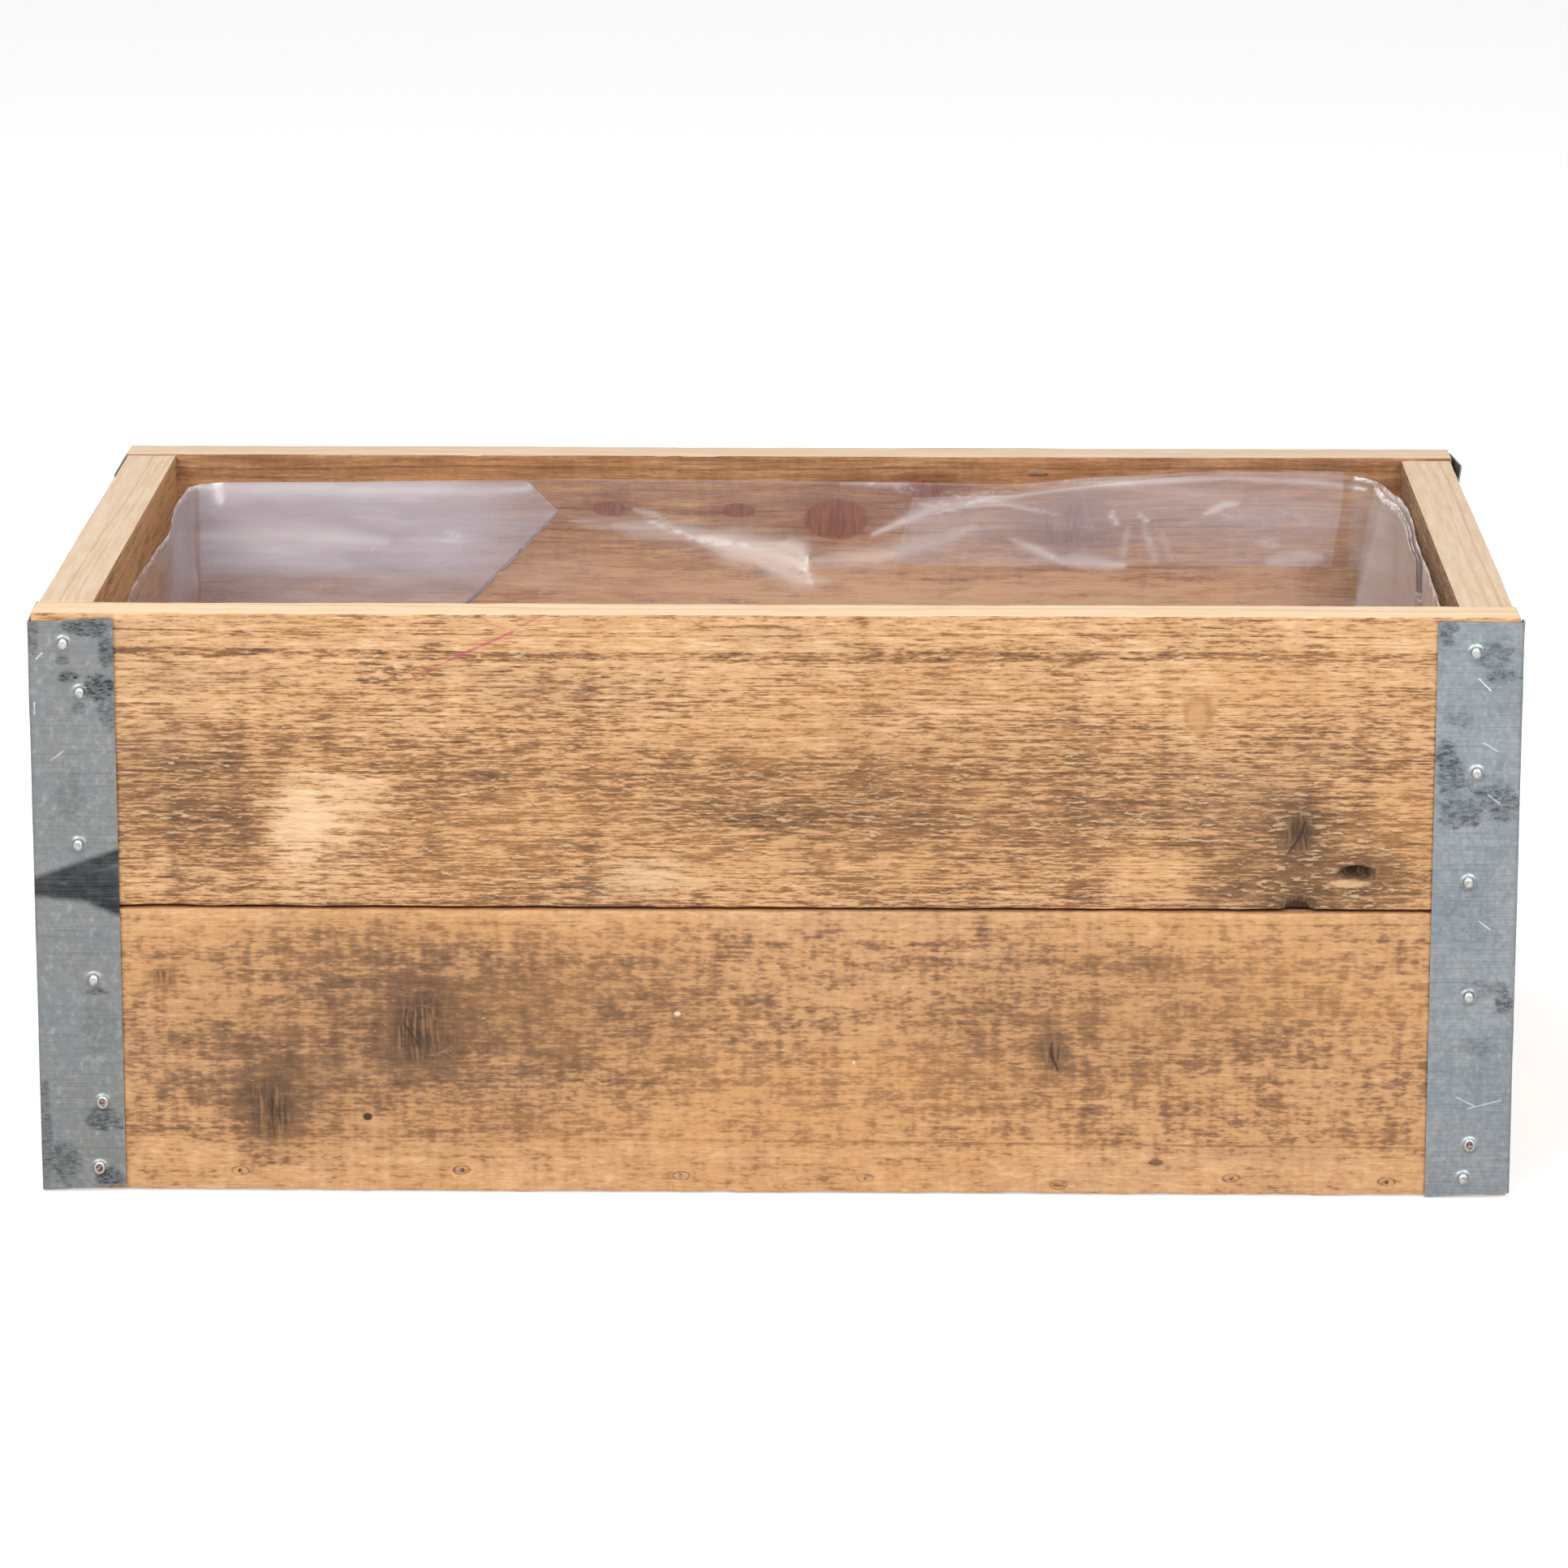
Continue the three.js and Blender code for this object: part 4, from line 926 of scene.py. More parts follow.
upper = board("front_board_upper", "front_board_upper_wood", LONG_FINE)
for centre, half, _ in DEAD_KNOTS:
    refine(upper, lambda m: on_front(m) & (ellipse(m, centre, half) < 1.5))
fibre_relief(upper, "x", 0.42 * MM, 0.1)
points = points_of(upper)
ragged_edge(upper, soft_step(SEAM + 2 * MM - points[:, 2], 0, 2 * MM), 0.7 * MM, 0.7)
for centre, half, depth in DEAD_KNOTS:
    points = points_of(upper)
    hollow = (1 - soft_step(ellipse(points, centre, half), 0.35, 1.15)) * on_front(points)
    push(upper, hollow, depth, "Y")
finish_piece(upper, upper_front, "front_board_upper")

lower = board("front_board_lower", "front_board_lower_wood", LONG_FINE)
fibre_relief(lower, "x", 0.26 * MM, 2.1)
points = points_of(lower)
ragged_edge(lower, soft_step(points[:, 2], SEAM - 2.2 * MM, SEAM), -0.5 * MM, 2.7)
ragged_edge(lower, 1 - soft_step(points[:, 2], 0, 2 * MM), 1.2 * MM, 3.3)
brad_holes(lower, BRAD_PLACES, on_front, "Y", BRAD_DEPTH)
finish_piece(lower, lower_front, "front_board_lower")
print("Front boards:", len(upper.data.polygons), "and", len(lower.data.polygons), "faces")

# %% [markdown]
# The back, end and bottom boards are made the same way on a coarser grid, because the camera sees
# less of them. The back and the ends get their brad holes too, each on its own outer face.

# %% Back, end and bottom boards
END_FACE = 249.5 * MM

for course, material in (("upper", upper_back), ("lower", lower_back)):
    piece = board(f"back_board_{course}", f"back_board_{course}_wood", LONG_PLAIN)
    fibre_relief(piece, "x", 0.3 * MM, 4.1 if course == "upper" else 5.2)
    points = points_of(piece)
    if course == "upper":
        ragged_edge(piece, soft_step(SEAM + 2 * MM - points[:, 2], 0, 2 * MM), 1.0 * MM, 4.7)
    else:
        ragged_edge(piece, soft_step(points[:, 2], SEAM - 2.2 * MM, SEAM), -0.9 * MM, 5.7)
        mirrored = [(-x, z) for x, z in BRAD_PLACES]
        brad_holes(piece, mirrored, lambda p: p[:, 1] > -FRONT - FACE_DEPTH, "Y", -BRAD_DEPTH)
    finish_piece(piece, material, f"back_board_{course}")

for (side, course), material in end_woods.items():
    piece = board(f"{side}_end_board_{course}", f"{side}_end_board_{course}_wood", END_PLAIN)
    fibre_relief(piece, "y", 0.35 * MM, 6.1 + len(side) + len(course))
    if course == "lower":
        out = -1 if side == "left" else 1
        brad_holes(piece, END_BRAD_PLACES, lambda p: p[:, 0] * out > END_FACE - FACE_DEPTH, "X",
                   -out * BRAD_DEPTH)
    finish_piece(piece, material, f"{side}_end_board_{course}")

for number in (1, 2, 3):
    piece = board(f"bottom_board_{number}", f"bottom_board_{number}_wood", FLOOR_PLAIN)
    fibre_relief(piece, "x", 0.35 * MM, 8.1 + number)
    finish_piece(piece, bottom_wood, f"bottom_board_{number}")

# %% [markdown]
# ## Galvanised sheet
# Zinc on rolled steel is not one grey. Large soft crystals mottle it, the roller left fine lines
# along the sheet, and where it was hammered or handled it turned blue-black. The dark spots and
# strokes are partly that blue-black zinc and partly painted reflections of the dents, and a few
# spots are painted shadows under nail heads. Spots are brushed, strokes are wide with a clean edge,
# and small bright scratches lie on top. The metal stays metal everywhere: only its colour and
# roughness change.

# %% Galvanised material
ZINC_BLUE, ZINC_DARK = srgb(132, 148, 160), srgb(24, 30, 36)


def galvanised(name, dark_spots_and_reflections, dark_strokes_and_reflections, scratches, tint, blue=0.5, shift=0.0):
    """Zinc with lists of dark spots and strokes (dark zinc, painted reflection, painted shadow) and bright
    scratches.
    """
    material, r, surface = new_material(name)
    place = r.position()
    moved = r.vector("ADD", place, (shift * 91.0, shift * 57.0, shift * 33.0))
    cloud = r.stretched(moved, (16, 16, 22), 1.0, 3.0, 0.6)
    rolled = r.stretched(moved, (26, 26, 0.34), 2.0, 3.0, 0.7)
    mottled = r.stretched(moved, (2.4, 2.4, 3.0), 3.0, 3.0, 0.65)
    uneven = r.swing(moved, (7, 7, 5), 4.0, 4.0, 0.68)
    brushed = r.stretched(moved, (2.2, 2.2, 0.8), 6.0, 3.0, 0.72)
    spread = r.vector("MULTIPLY", moved, (0.16, 0.16, 0.13))
    crystals = r.add("TexVoronoi", {"Vector": spread, "Randomness": 1.0})
    tone = r.add("SeparateXYZ", {0: crystals.outputs["Color"]}).outputs["X"]
    colour = r.paint(tint, r.fade(cloud, 0.4, 0.7), ZINC_BLUE, blue)
    colour = r.paint(colour, tone, srgb(112, 122, 130), 0.34)
    colour = r.paint(colour, r.fade(rolled, 0.45, 0.72), srgb(108, 116, 120), 0.5)
    colour = r.paint(colour, r.fade(mottled, 0.5, 0.78), srgb(196, 200, 200), 0.35)
    dark = None
    # Dark spots and strokes: partly blue-black zinc, partly painted reflections of the dents, and painted
    # shadows under two nails on the left strap.
    for x, z, half_x, half_z, strength, ragged in dark_spots_and_reflections:
        dark_spot = spot(r, place, x, z, half_x, half_z, ragged * 2.2, 0.3, uneven)
        mask = r.sum("MULTIPLY", dark_spot, strength)
        dark = mask if dark is None else r.sum("MAXIMUM", dark, mask)
    dark = r.sum("MULTIPLY", dark, r.fade(brushed, 0.36, 0.6, 1.15, 0.35), clamp=True)
    for x0, z0, x1, z1, width, strength in dark_strokes_and_reflections:
        dark_stroke = stroke(r, place, x0, z0, x1, z1, width, 0.12, uneven)
        dark = r.sum("MAXIMUM", dark, r.sum("MULTIPLY", dark_stroke, strength))
    dark = r.sum("MULTIPLY", dark, r.fade(rolled, 0.3, 0.7, 1.0, 0.75))
    colour = r.paint(colour, dark, ZINC_DARK)
    for x0, z0, x1, z1, width, strength in scratches:
        scratch = stroke(r, place, x0, z0, x1, z1, width, 0.5, uneven)
        colour = r.paint(colour, scratch, srgb(240, 244, 246), strength)
    height = r.sum("MULTIPLY_ADD", rolled, 0.5, r.sum("MULTIPLY", mottled, 0.5))
    bump = r.add("Bump", {"Height": height, "Strength": 0.35, "Distance": 0.12 * MM})
    surface["Metallic"].default_value = 0.9
    r.tree.links.new(colour, surface["Base Color"])
    r.tree.links.new(bump.outputs["Normal"], surface["Normal"])
    r.tree.links.new(r.fade(mottled, 0.3, 0.7, 0.34, 0.48), surface["Roughness"])
    return material


# Painted shadows: a soft dark spot below and to the right of two nails on the left strap.
NAIL_SHADE = (2.4, 2.2, 0.5, 0.3)
SHADED_NAILS = [(-240.5, 189), (-235.4, 172.5)]
left_zinc = galvanised(
    "left_strap_zinc",
    [(-230, 199, 7, 3.5, 0.8, 1.0), (-224, 190, 3, 5, 0.8, 0.9), (-237, 181, 3.5, 2, 0.9, 0.8),
     (-227, 177, 6, 4, 0.95, 0.9), (-224, 168, 4, 6, 0.5, 1.0), (-229, 26, 7, 4, 0.7, 0.9),
     (-243, 10, 6, 6, 0.6, 1.2), (-227, 5, 5, 3, 0.8, 0.8), (-230, 71, 4, 1.4, 0.7, 0.8),
     (-249, 20, 2, 18, 0.5, 1.0), (-249, 195, 2, 6, 0.5, 0.8), (-238, 140, 5, 8, 0.25, 1.2),
     (-230, 60, 6, 10, 0.2, 1.2)] + [(x + 1.4, z - 2.4, *NAIL_SHADE) for x, z in SHADED_NAILS],
    [(-251, 108.2, -222, 118.5, 4.0, 0.96), (-250, 107.4, -221, 104.5, 4.4, 0.96),
     (-236, 109, -220, 111, 7.5, 0.98), (-230, 104, -220, 100, 4.2, 0.96)],
    [(-248, 187, -246, 189, 0.35, 0.9), (-244, 152, -240, 155, 0.3, 0.6),
     (-249, 172, -249, 168, 0.35, 0.8)],
    srgb(152, 152, 149), 0.3)
right_zinc = galvanised(
    "right_strap_zinc",
    [(242, 190, 6, 6, 0.5, 1.2), (243, 183, 5, 2.5, 0.7, 1.2), (226, 155, 4, 5, 0.75, 1.2),
     (228, 148, 5, 6, 0.6, 1.3), (243, 140, 7, 7, 0.75, 1.4), (232, 136, 8, 5, 0.65, 1.4),
     (247, 69, 3.5, 5, 0.7, 1.3), (238, 74, 7, 3, 0.4, 1.3), (239, 54, 6, 3, 0.3, 1.2),
     (225, 198, 3, 4, 0.6, 1.2), (230, 168, 4, 3, 0.4, 1.2), (234, 100, 9, 10, 0.15, 1.2)],
    [],
    [(236, 182, 240, 178, 0.35, 0.9), (238, 160, 243, 157, 0.3, 0.7), (240, 142, 244, 139, 0.3, 0.7),
     (238, 98, 242, 95, 0.3, 0.8), (232, 36, 238, 33, 0.3, 0.7), (236, 32, 247, 35, 0.3, 0.6)],
    srgb(168, 173, 176), 0.5, shift=1.0)
back_zinc = galvanised(
    "back_strap_zinc",
    [(238, 150, 8, 10, 0.6, 1.2), (-236, 60, 9, 12, 0.6, 1.2), (-240, 170, 7, 9, 0.6, 1.2)],
    [],
    [(232, 120, 238, 124, 0.35, 0.8)],
    srgb(168, 172, 174), shift=2.0)
print("Sheet metals:", left_zinc.name, right_zinc.name, back_zinc.name)

# %% [markdown]
# ## The corner straps
# A strap is a strip of thin sheet folded over the corner and nailed through. It is modelled as the
# tinsmith makes it: a flat leg, a second leg pulled out of its edge, the fold rounded by a bevel,
# the ends cut skew by hand. Then come a raised crater round every nail and the soft dents of the
# hammer, and last the sheet's thickness.

# %% Strap helper
NAILS = {name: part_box(name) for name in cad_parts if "_nail_" in name}
END_WALL, LONG_WALL = 250 * MM, 150 * MM
STAND_OFF, LEG = 0.9 * MM, 28 * MM
SHEET = 0.6 * MM
FOLD = 1.4 * MM
UNCUT = 200 * MM


def nail_places(corner, kind):
    """The middle of each nail's head on one leg of a strap."""
    found = [box for name, box in sorted(NAILS.items()) if name.startswith(f"{corner}_{kind}")]
    return [(low + high) / 2 for low, high in found]


def skewed_ends(node, at, tolerance=2.5 * MM):
    """The lowest and highest point of a node's own mesh near one vertical line."""
    points = points_of(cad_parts[node])
    near = points[np.hypot(points[:, 0] - at[0], points[:, 1] - at[1]) < tolerance]
    return near[:, 2].min(), near[:, 2].max()


def strap(corner):
    side = -1 if corner.endswith("left") else 1
    front = -1 if corner.startswith("front") else 1
    node = f"{corner}_strap"
    x_out, y_out = side * (END_WALL + STAND_OFF), front * (LONG_WALL + STAND_OFF)
    x_free, y_free = side * (END_WALL - LEG), front * (LONG_WALL - LEG)
    bpy.ops.object.select_all(action="DESELECT")
    middle = ((x_out + x_free) / 2, y_out, UNCUT / 2)
    bpy.ops.mesh.primitive_plane_add(size=1, location=middle, rotation=(RIGHT_ANGLE, 0, 0))
    piece = bpy.context.object
    piece.name = f"{corner}_strap_sheet"
    piece.scale = (abs(x_out - x_free), UNCUT, 1)
    bpy.ops.object.transform_apply(location=True, rotation=True, scale=True)
    ends = edge_ends(piece)
    choose(piece, "edges", np.abs(ends[:, :, 0] - x_out).max(axis=1) < 0.1 * MM)
    pull = {"value": (0, y_free - y_out, 0)}
    edit(piece, bpy.ops.mesh.extrude_region_move, TRANSFORM_OT_translate=pull)
    for x, y in ((x_free, y_out), (x_out, y_out), (x_out, y_free)):
        wanted = skewed_ends(node, (x, y))
        for old, new in zip((0.0, UNCUT), wanted):
            points = points_of(piece)
            choose(piece, "vertices", np.linalg.norm(points - (x, y, old), axis=1) < 1 * MM)
            edit(piece, bpy.ops.transform.translate, value=(0, 0, new - old))
    ends = edge_ends(piece)
    at_fold = np.abs(ends - (x_out, y_out, 0))[:, :, :2].max(axis=(1, 2)) < 0.1 * MM
    choose(piece, "edges", at_fold)
    edit(piece, bpy.ops.mesh.bevel, offset=FOLD, segments=4, affect="EDGES")
    for axis, cuts in ((2, (15, 15)), (0, (34,)), (1, (30,))):
        slice_along(piece, axis, *cuts)
    return piece, side, front


def hammered(piece, corner, side, front):
    """Craters round the nails, a shallow dish round each, and slow dents over both legs."""
    for flat_axis, along, kind, wall, sign in ((1, 0, "strap_nail", LONG_WALL, front),
                                               (0, 1, "side_nail", END_WALL, side)):
        axes, direction = (along, 2), "XY"[flat_axis]
        places = [(p[along], p.z) for p in nail_places(corner, kind)]

        def leg(points):
            return np.abs(points[:, flat_axis]) > wall

        def nearest(points, half):
            return np.min([ellipse(points, p, (half, half), axes) for p in places], axis=0)

        refine(piece, lambda m: leg(m) & (nearest(m, 4 * MM) < 1))
        points = points_of(piece)
        near = nearest(points, 1 * MM)
        crater = np.exp(-(((near - 2.2) / 0.55) ** 2)) * leg(points)
        push(piece, crater, sign * 0.45 * MM, direction)
        dish = np.exp(-((near / 7.0) ** 2)) * (1 - np.exp(-((near / 3.0) ** 2))) * leg(points)
        push(piece, dish, -sign * 0.25 * MM, direction)
    for axis, wall in enumerate((END_WALL, LONG_WALL)):
        roughen(piece, (0.018, 0.018, 0.024), 0.35 * MM, direction="XY"[axis], shift=0.2 * side, mid=0.5,
                weights=(np.abs(points_of(piece)[:, axis]) > wall + 0.4 * MM) * 1.0)


print("Nails that hold the straps:", len(NAILS))

# %% Straps
STRAP_MATERIAL = {"front_left": left_zinc, "front_right": right_zinc, "back_left": back_zinc,
                  "back_right": back_zinc}
SPLAY = {"front_left": 0.1, "front_right": 1.0, "back_left": 1.0, "back_right": 0.5}
SPLAY_MOST, SPLAY_HIGH = 3.6 * MM, 16 * MM

for corner, material in STRAP_MATERIAL.items():
    piece, side, front = strap(corner)
    hammered(piece, corner, side, front)
    points = points_of(piece)
    raised = np.clip((points[:, 2] - (RIM - 3 * MM - SPLAY_HIGH)) / SPLAY_HIGH, 0, 1) ** 1.5
    inlay = np.clip((LONG_WALL - np.abs(points[:, 1])) / LEG, 0, 1)
    push(piece, raised * inlay, side * SPLAY_MOST * SPLAY[corner], "X")
    choose(piece, "polygons", np.ones(len(piece.data.polygons), bool))
    edit(piece, bpy.ops.mesh.normals_make_consistent, inside=False)
    middles, normals = faces_of(piece)
    if (normals[:, 1] * front * (np.abs(middles[:, 1]) > LONG_WALL + 0.5 * MM)).sum() < 0:
        choose(piece, "polygons", np.ones(len(piece.data.polygons), bool))
        edit(piece, bpy.ops.mesh.flip_normals)
    modify(piece, "SOLIDIFY", thickness=SHEET, offset=-1, use_even_offset=True)
    finish_piece(piece, material, f"{corner}_strap", angle=50)
    print(piece.name, "has", len(piece.data.polygons), "faces")

# %% [markdown]
# ## Nails
# Each nail was driven until its head bit into the sheet. Most heads are small bright domes. Some,
# mostly near the ground, have a worn pit in the middle that has rusted. Both kinds are modelled
# from a cylinder: its top is inset ring by ring, and each ring is lifted or pressed in. The copies
# are turned to their wall, and every copy has its own mesh.

# %% Nail materials and head
def bright_steel():
    material, r, surface = new_material("bright_steel")
    worn = r.stretched(r.position(), (1.2, 1.2, 1.2), 2.0, 3.0, 0.6)
    colour = r.paint(srgb(214, 214, 212), r.fade(worn, 0.45, 0.75), srgb(120, 118, 116), 0.7)
    surface["Metallic"].default_value = 1
    r.tree.links.new(colour, surface["Base Color"])
    r.tree.links.new(r.fade(worn, 0.3, 0.7, 0.2, 0.36), surface["Roughness"])
    return material


def rusty_pit():
    material, r, surface = new_material("rusty_pit")
    flakes = r.stretched(r.position(), (0.7, 0.7, 0.7), 4.0, 3.0, 0.7)
    colour = r.paint(srgb(46, 34, 28), r.fade(flakes, 0.42, 0.56), srgb(178, 152, 136), 0.9)
    bump = r.add("Bump", {"Height": flakes, "Strength": 0.6, "Distance": 0.2 * MM})
    r.tree.links.new(colour, surface["Base Color"])
    r.tree.links.new(r.fade(flakes, 0.3, 0.7, 0.75, 0.45), surface["Roughness"])
    r.tree.links.new(bump.outputs["Normal"], surface["Normal"])
    return material


STEEL, RUST = bright_steel(), rusty_pit()
HEAD, PIT = 1.9 * MM, 1.0 * MM


def top_face(piece):
    """Chooses the one face in the middle of a head's top."""
    middles, normals = faces_of(piece)
    in_middle = np.hypot(middles[:, 0], middles[:, 1]) < 0.1 * MM
    choose(piece, "polygons", (normals[:, 2] > 0.9) & in_middle)


def nail_head(rings, rusty):
    """A head that looks along +Z, its underside below the origin, from rings of (inset, lift) in mm."""
    bpy.ops.object.select_all(action="DESELECT")
    bpy.ops.mesh.primitive_cylinder_add(vertices=24, radius=HEAD, depth=1.3 * MM,
                                        location=(0, 0, 0.05 * MM), end_fill_type="NGON")
    piece = bpy.context.object
    bpy.ops.object.transform_apply(location=True, rotation=True, scale=True)
    piece.data.materials.append(STEEL)
    piece.data.materials.append(RUST)
    for inset, lift in rings:
        top_face(piece)
        edit(piece, bpy.ops.mesh.inset, thickness=inset * MM, depth=0)
        top_face(piece)
        edit(piece, bpy.ops.transform.translate, value=(0, 0, lift * MM))
    middles, _ = faces_of(piece)
    within = (np.hypot(middles[:, 0], middles[:, 1]) < PIT) & rusty
    piece.data.polygons.foreach_set("material_index", (within & (middles[:, 2] > 0)).astype(int))
    modify(piece, "SUBSURF", levels=1, render_levels=1)
    pick(piece)
    bpy.ops.object.shade_smooth()
    return piece


bright_nail = nail_head([(0.3, 0.26), (0.45, 0.24), (0.45, 0.1), (0.3, -0.12)], False)
rusty_nail = nail_head([(0.35, 0.28), (0.4, 0.12), (0.28, -0.35), (0.25, -0.25)], True)
print("One head has", len(bright_nail.data.polygons), "faces")

# %% Nails in their places
def set_copy(pattern, name, turn, place, scale=(1, 1, 1)):
    """Copies a head with its own mesh and sets it on its wall."""
    head = pattern.copy()
    head.data = pattern.data.copy()
    head.name = name
    bpy.context.collection.objects.link(head)
    head.scale = scale
    head.rotation_euler = turn
    head.location = place
    pick(head)
    bpy.ops.object.transform_apply(location=True, rotation=True, scale=True)
    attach(head, "root")
    return head


DAMP_HEIGHT, WIDE_HEAD = 75 * MM, 1.18
for name, (low, high) in sorted(NAILS.items()):
    middle = (low + high) / 2
    if (high - low).x > (high - low).y:
        sign = 1 if middle.x > 0 else -1
        seat = Vector((sign * (END_WALL + STAND_OFF), middle.y, middle.z))
        turn = (0, sign * RIGHT_ANGLE, 0)
    else:
        sign = 1 if middle.y > 0 else -1
        seat = Vector((middle.x, sign * (LONG_WALL + STAND_OFF), middle.z))
        turn = (-sign * RIGHT_ANGLE, 0, 0)
    damp = middle.z < DAMP_HEIGHT and not name.startswith("front_right")
    every_fifth = int(name.split("_")[-1]) % 5 == 2 and not name.startswith("front_left")
    rusty = damp or every_fifth
    width = WIDE_HEAD if rusty else 1.0
    nail = set_copy(rusty_nail if rusty else bright_nail, name + "_head", turn, seat,
                    (width * 0.92, width * 1.08, 1))
    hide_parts(name)
bpy.data.objects.remove(bright_nail)
bpy.data.objects.remove(rusty_nail)
print("Nails placed:", len(NAILS))

# %% [markdown]
# ## The film liner
# The liner is a sheet of clear film pressed into the box. It is modelled as the folded tray that it
# is: a box without a lid, its corners rounded, one surface thick. The spare film at each corner is
# folded flat against the wall, which gives two more layers there. Waves and creases come last. Each
# layer lets most light through, so folded places turn milky by themselves. The film throws no
# shadow of its own, because light passes straight through it.

# %% Film material
LILAC, SMOKE = srgb(206, 200, 210), srgb(206, 190, 183)


def clear_film(name, body, cloud):
    """Film whose one layer hides a share of what is behind it; creases and cut edges hide more, and painted
    highlights and reflections whiten it.
    """
    material, r, surface = new_material(name)
    place = r.position()
    haze = r.stretched(place, (70, 40, 22), 1.0, 2.0, 0.55)
    folds = r.stretched(place, (34, 20, 7), 6.0, 2.0, 0.5)
    ridge = r.sum("ABSOLUTE", r.sum("SUBTRACT", folds, 0.5))
    crease = r.fade(ridge, 0.0, 0.02, 1.0, 0.0)
    rub = r.sum("MULTIPLY", crease, r.fade(haze, 0.45, 0.62))
    painted = {label: r.add("Attribute", attribute_name=label).outputs["Fac"]
               for label in ("shine", "glow", "cloud")}
    broken = r.fade(r.stretched(place, (5, 6, 2.2), 3.0, 3.0, 0.7), 0.4, 0.6, 0.1, 1.0)
    bright = r.sum("MULTIPLY", painted["shine"], broken, clamp=True)
    sheen = r.add("LayerWeight", {"Blend": 0.3}).outputs["Facing"]
    alpha = r.sum("MULTIPLY_ADD", r.fade(haze, 0.3, 0.7), cloud, body)
    alpha = r.sum("MULTIPLY_ADD", rub, 0.08, alpha)
    alpha = r.sum("MULTIPLY_ADD", r.sum("POWER", sheen, 3.0), 0.4, alpha)
    alpha = r.sum("ADD", painted["cloud"], alpha)
    alpha = r.sum("MULTIPLY_ADD", bright, 0.8, alpha)
    alpha = r.sum("ADD", painted["glow"], alpha, clamp=True)
    lit = r.sum("SUBTRACT", 1.0, r.add("LightPath").outputs["Is Shadow Ray"])
    alpha = r.sum("MULTIPLY", alpha, lit)
    across = r.add("SeparateXYZ", {0: place}).outputs["X"]
    colour = r.paint(LILAC, r.fade(across, 205, 222), SMOKE)
    # Painted highlights and reflections: where the glow and shine marks are high the film is painted near
    # white.
    whiter = r.sum("MULTIPLY", painted["glow"], 2.0, clamp=True)
    colour = r.paint(colour, whiter, srgb(255, 250, 246))
    colour = r.paint(colour, bright, srgb(255, 254, 252))
    bump = r.add("Bump", {"Height": folds, "Strength": 0.5, "Distance": 1.4 * MM})
    # There the film also glows a little through its emission: painted light.
    light = r.fade(r.sum("MAXIMUM", painted["glow"], bright), 0.0, 0.7, 0.0, 0.16)
    r.tree.links.new(colour, surface["Base Color"])
    r.tree.links.new(alpha, surface["Alpha"])
    r.tree.links.new(bump.outputs["Normal"], surface["Normal"])
    r.tree.links.new(colour, surface["Emission Color"])
    r.tree.links.new(light, surface["Emission Strength"])
    surface["Roughness"].default_value = 0.22
    surface["IOR"].default_value = 1.5
    return material


FILM = clear_film("clear_film", 0.12, 0.08)
CLOUDY_FILM = clear_film("cloudy_film", 0.16, 0.1)
EDGE_FILM = clear_film("film_edge", 0.26, 0.1)
print("Films:", FILM.name, CLOUDY_FILM.name, EDGE_FILM.name)

# %% Film tray
INNER = Vector((230.0 * MM, 131.4 * MM, 0))
FILM_FLOOR = 14.5 * MM
FILM_TOP = 192.5 * MM
CORNER_ROUND, FLOOR_ROUND = 16 * MM, 10 * MM


def film_tray():
    bpy.ops.object.select_all(action="DESELECT")
    size = (2 * INNER.x, 2 * INNER.y, FILM_TOP - FILM_FLOOR)
    bpy.ops.mesh.primitive_cube_add(size=1, location=(0, 0, (FILM_TOP + FILM_FLOOR) / 2), scale=size)
    piece = bpy.context.object
    piece.name = "film_liner_sheet"
    bpy.ops.object.transform_apply(location=True, rotation=True, scale=True)
    _, normals = faces_of(piece)
    choose(piece, "polygons", normals[:, 2] > 0.5)
    edit(piece, bpy.ops.mesh.delete, type="FACE")
    ends = edge_ends(piece)
    upright = np.abs(ends[:, 1] - ends[:, 0])[:, 2] > 0.1
    choose(piece, "edges", upright)
    edit(piece, bpy.ops.mesh.bevel, offset=CORNER_ROUND, segments=6, affect="EDGES")
    ends = edge_ends(piece)
    choose(piece, "edges", np.abs(ends[:, :, 2] - FILM_FLOOR).max(axis=1) < 0.1 * MM)
    edit(piece, bpy.ops.mesh.bevel, offset=FLOOR_ROUND, segments=4, affect="EDGES")
    for axis, cuts in ((0, (14, 11)), (1, (9, 9)), (2, (8, 7))):
        slice_along(piece, axis, *cuts, shortest=12 * MM)
    return piece


liner = film_tray()
print("Film tray:", len(liner.data.polygons), "faces")

# %% Film flaps
def film_flap(across, at, corners):
    """A flap of spare film on one wall: its four corners are given as (along, up) in millimetres."""
    bpy.ops.object.select_all(action="DESELECT")
    bpy.ops.mesh.primitive_plane_add(size=1)
    flap = bpy.context.object
    square = [(-0.5, -0.5), (0.5, -0.5), (0.5, 0.5), (-0.5, 0.5)]
    for (u, v), (along, up) in zip(square, corners):
        target = (at, along * MM, up * MM) if across == "x" else (along * MM, at, up * MM)
        choose(flap, "vertices", np.linalg.norm(points_of(flap) - (u, v, 0), axis=1) < 0.01)
        edit(flap, bpy.ops.transform.translate, value=Vector(target) - Vector((u, v, 0)))
    choose(flap, "polygons", [True])
    edit(flap, bpy.ops.mesh.subdivide, number_cuts=37)
    _, normals = faces_of(flap)
    if normals[0]["xy".index(across)] * at < 0:
        choose(flap, "polygons", np.ones(len(normals), bool))
        edit(flap, bpy.ops.mesh.flip_normals)
    return flap


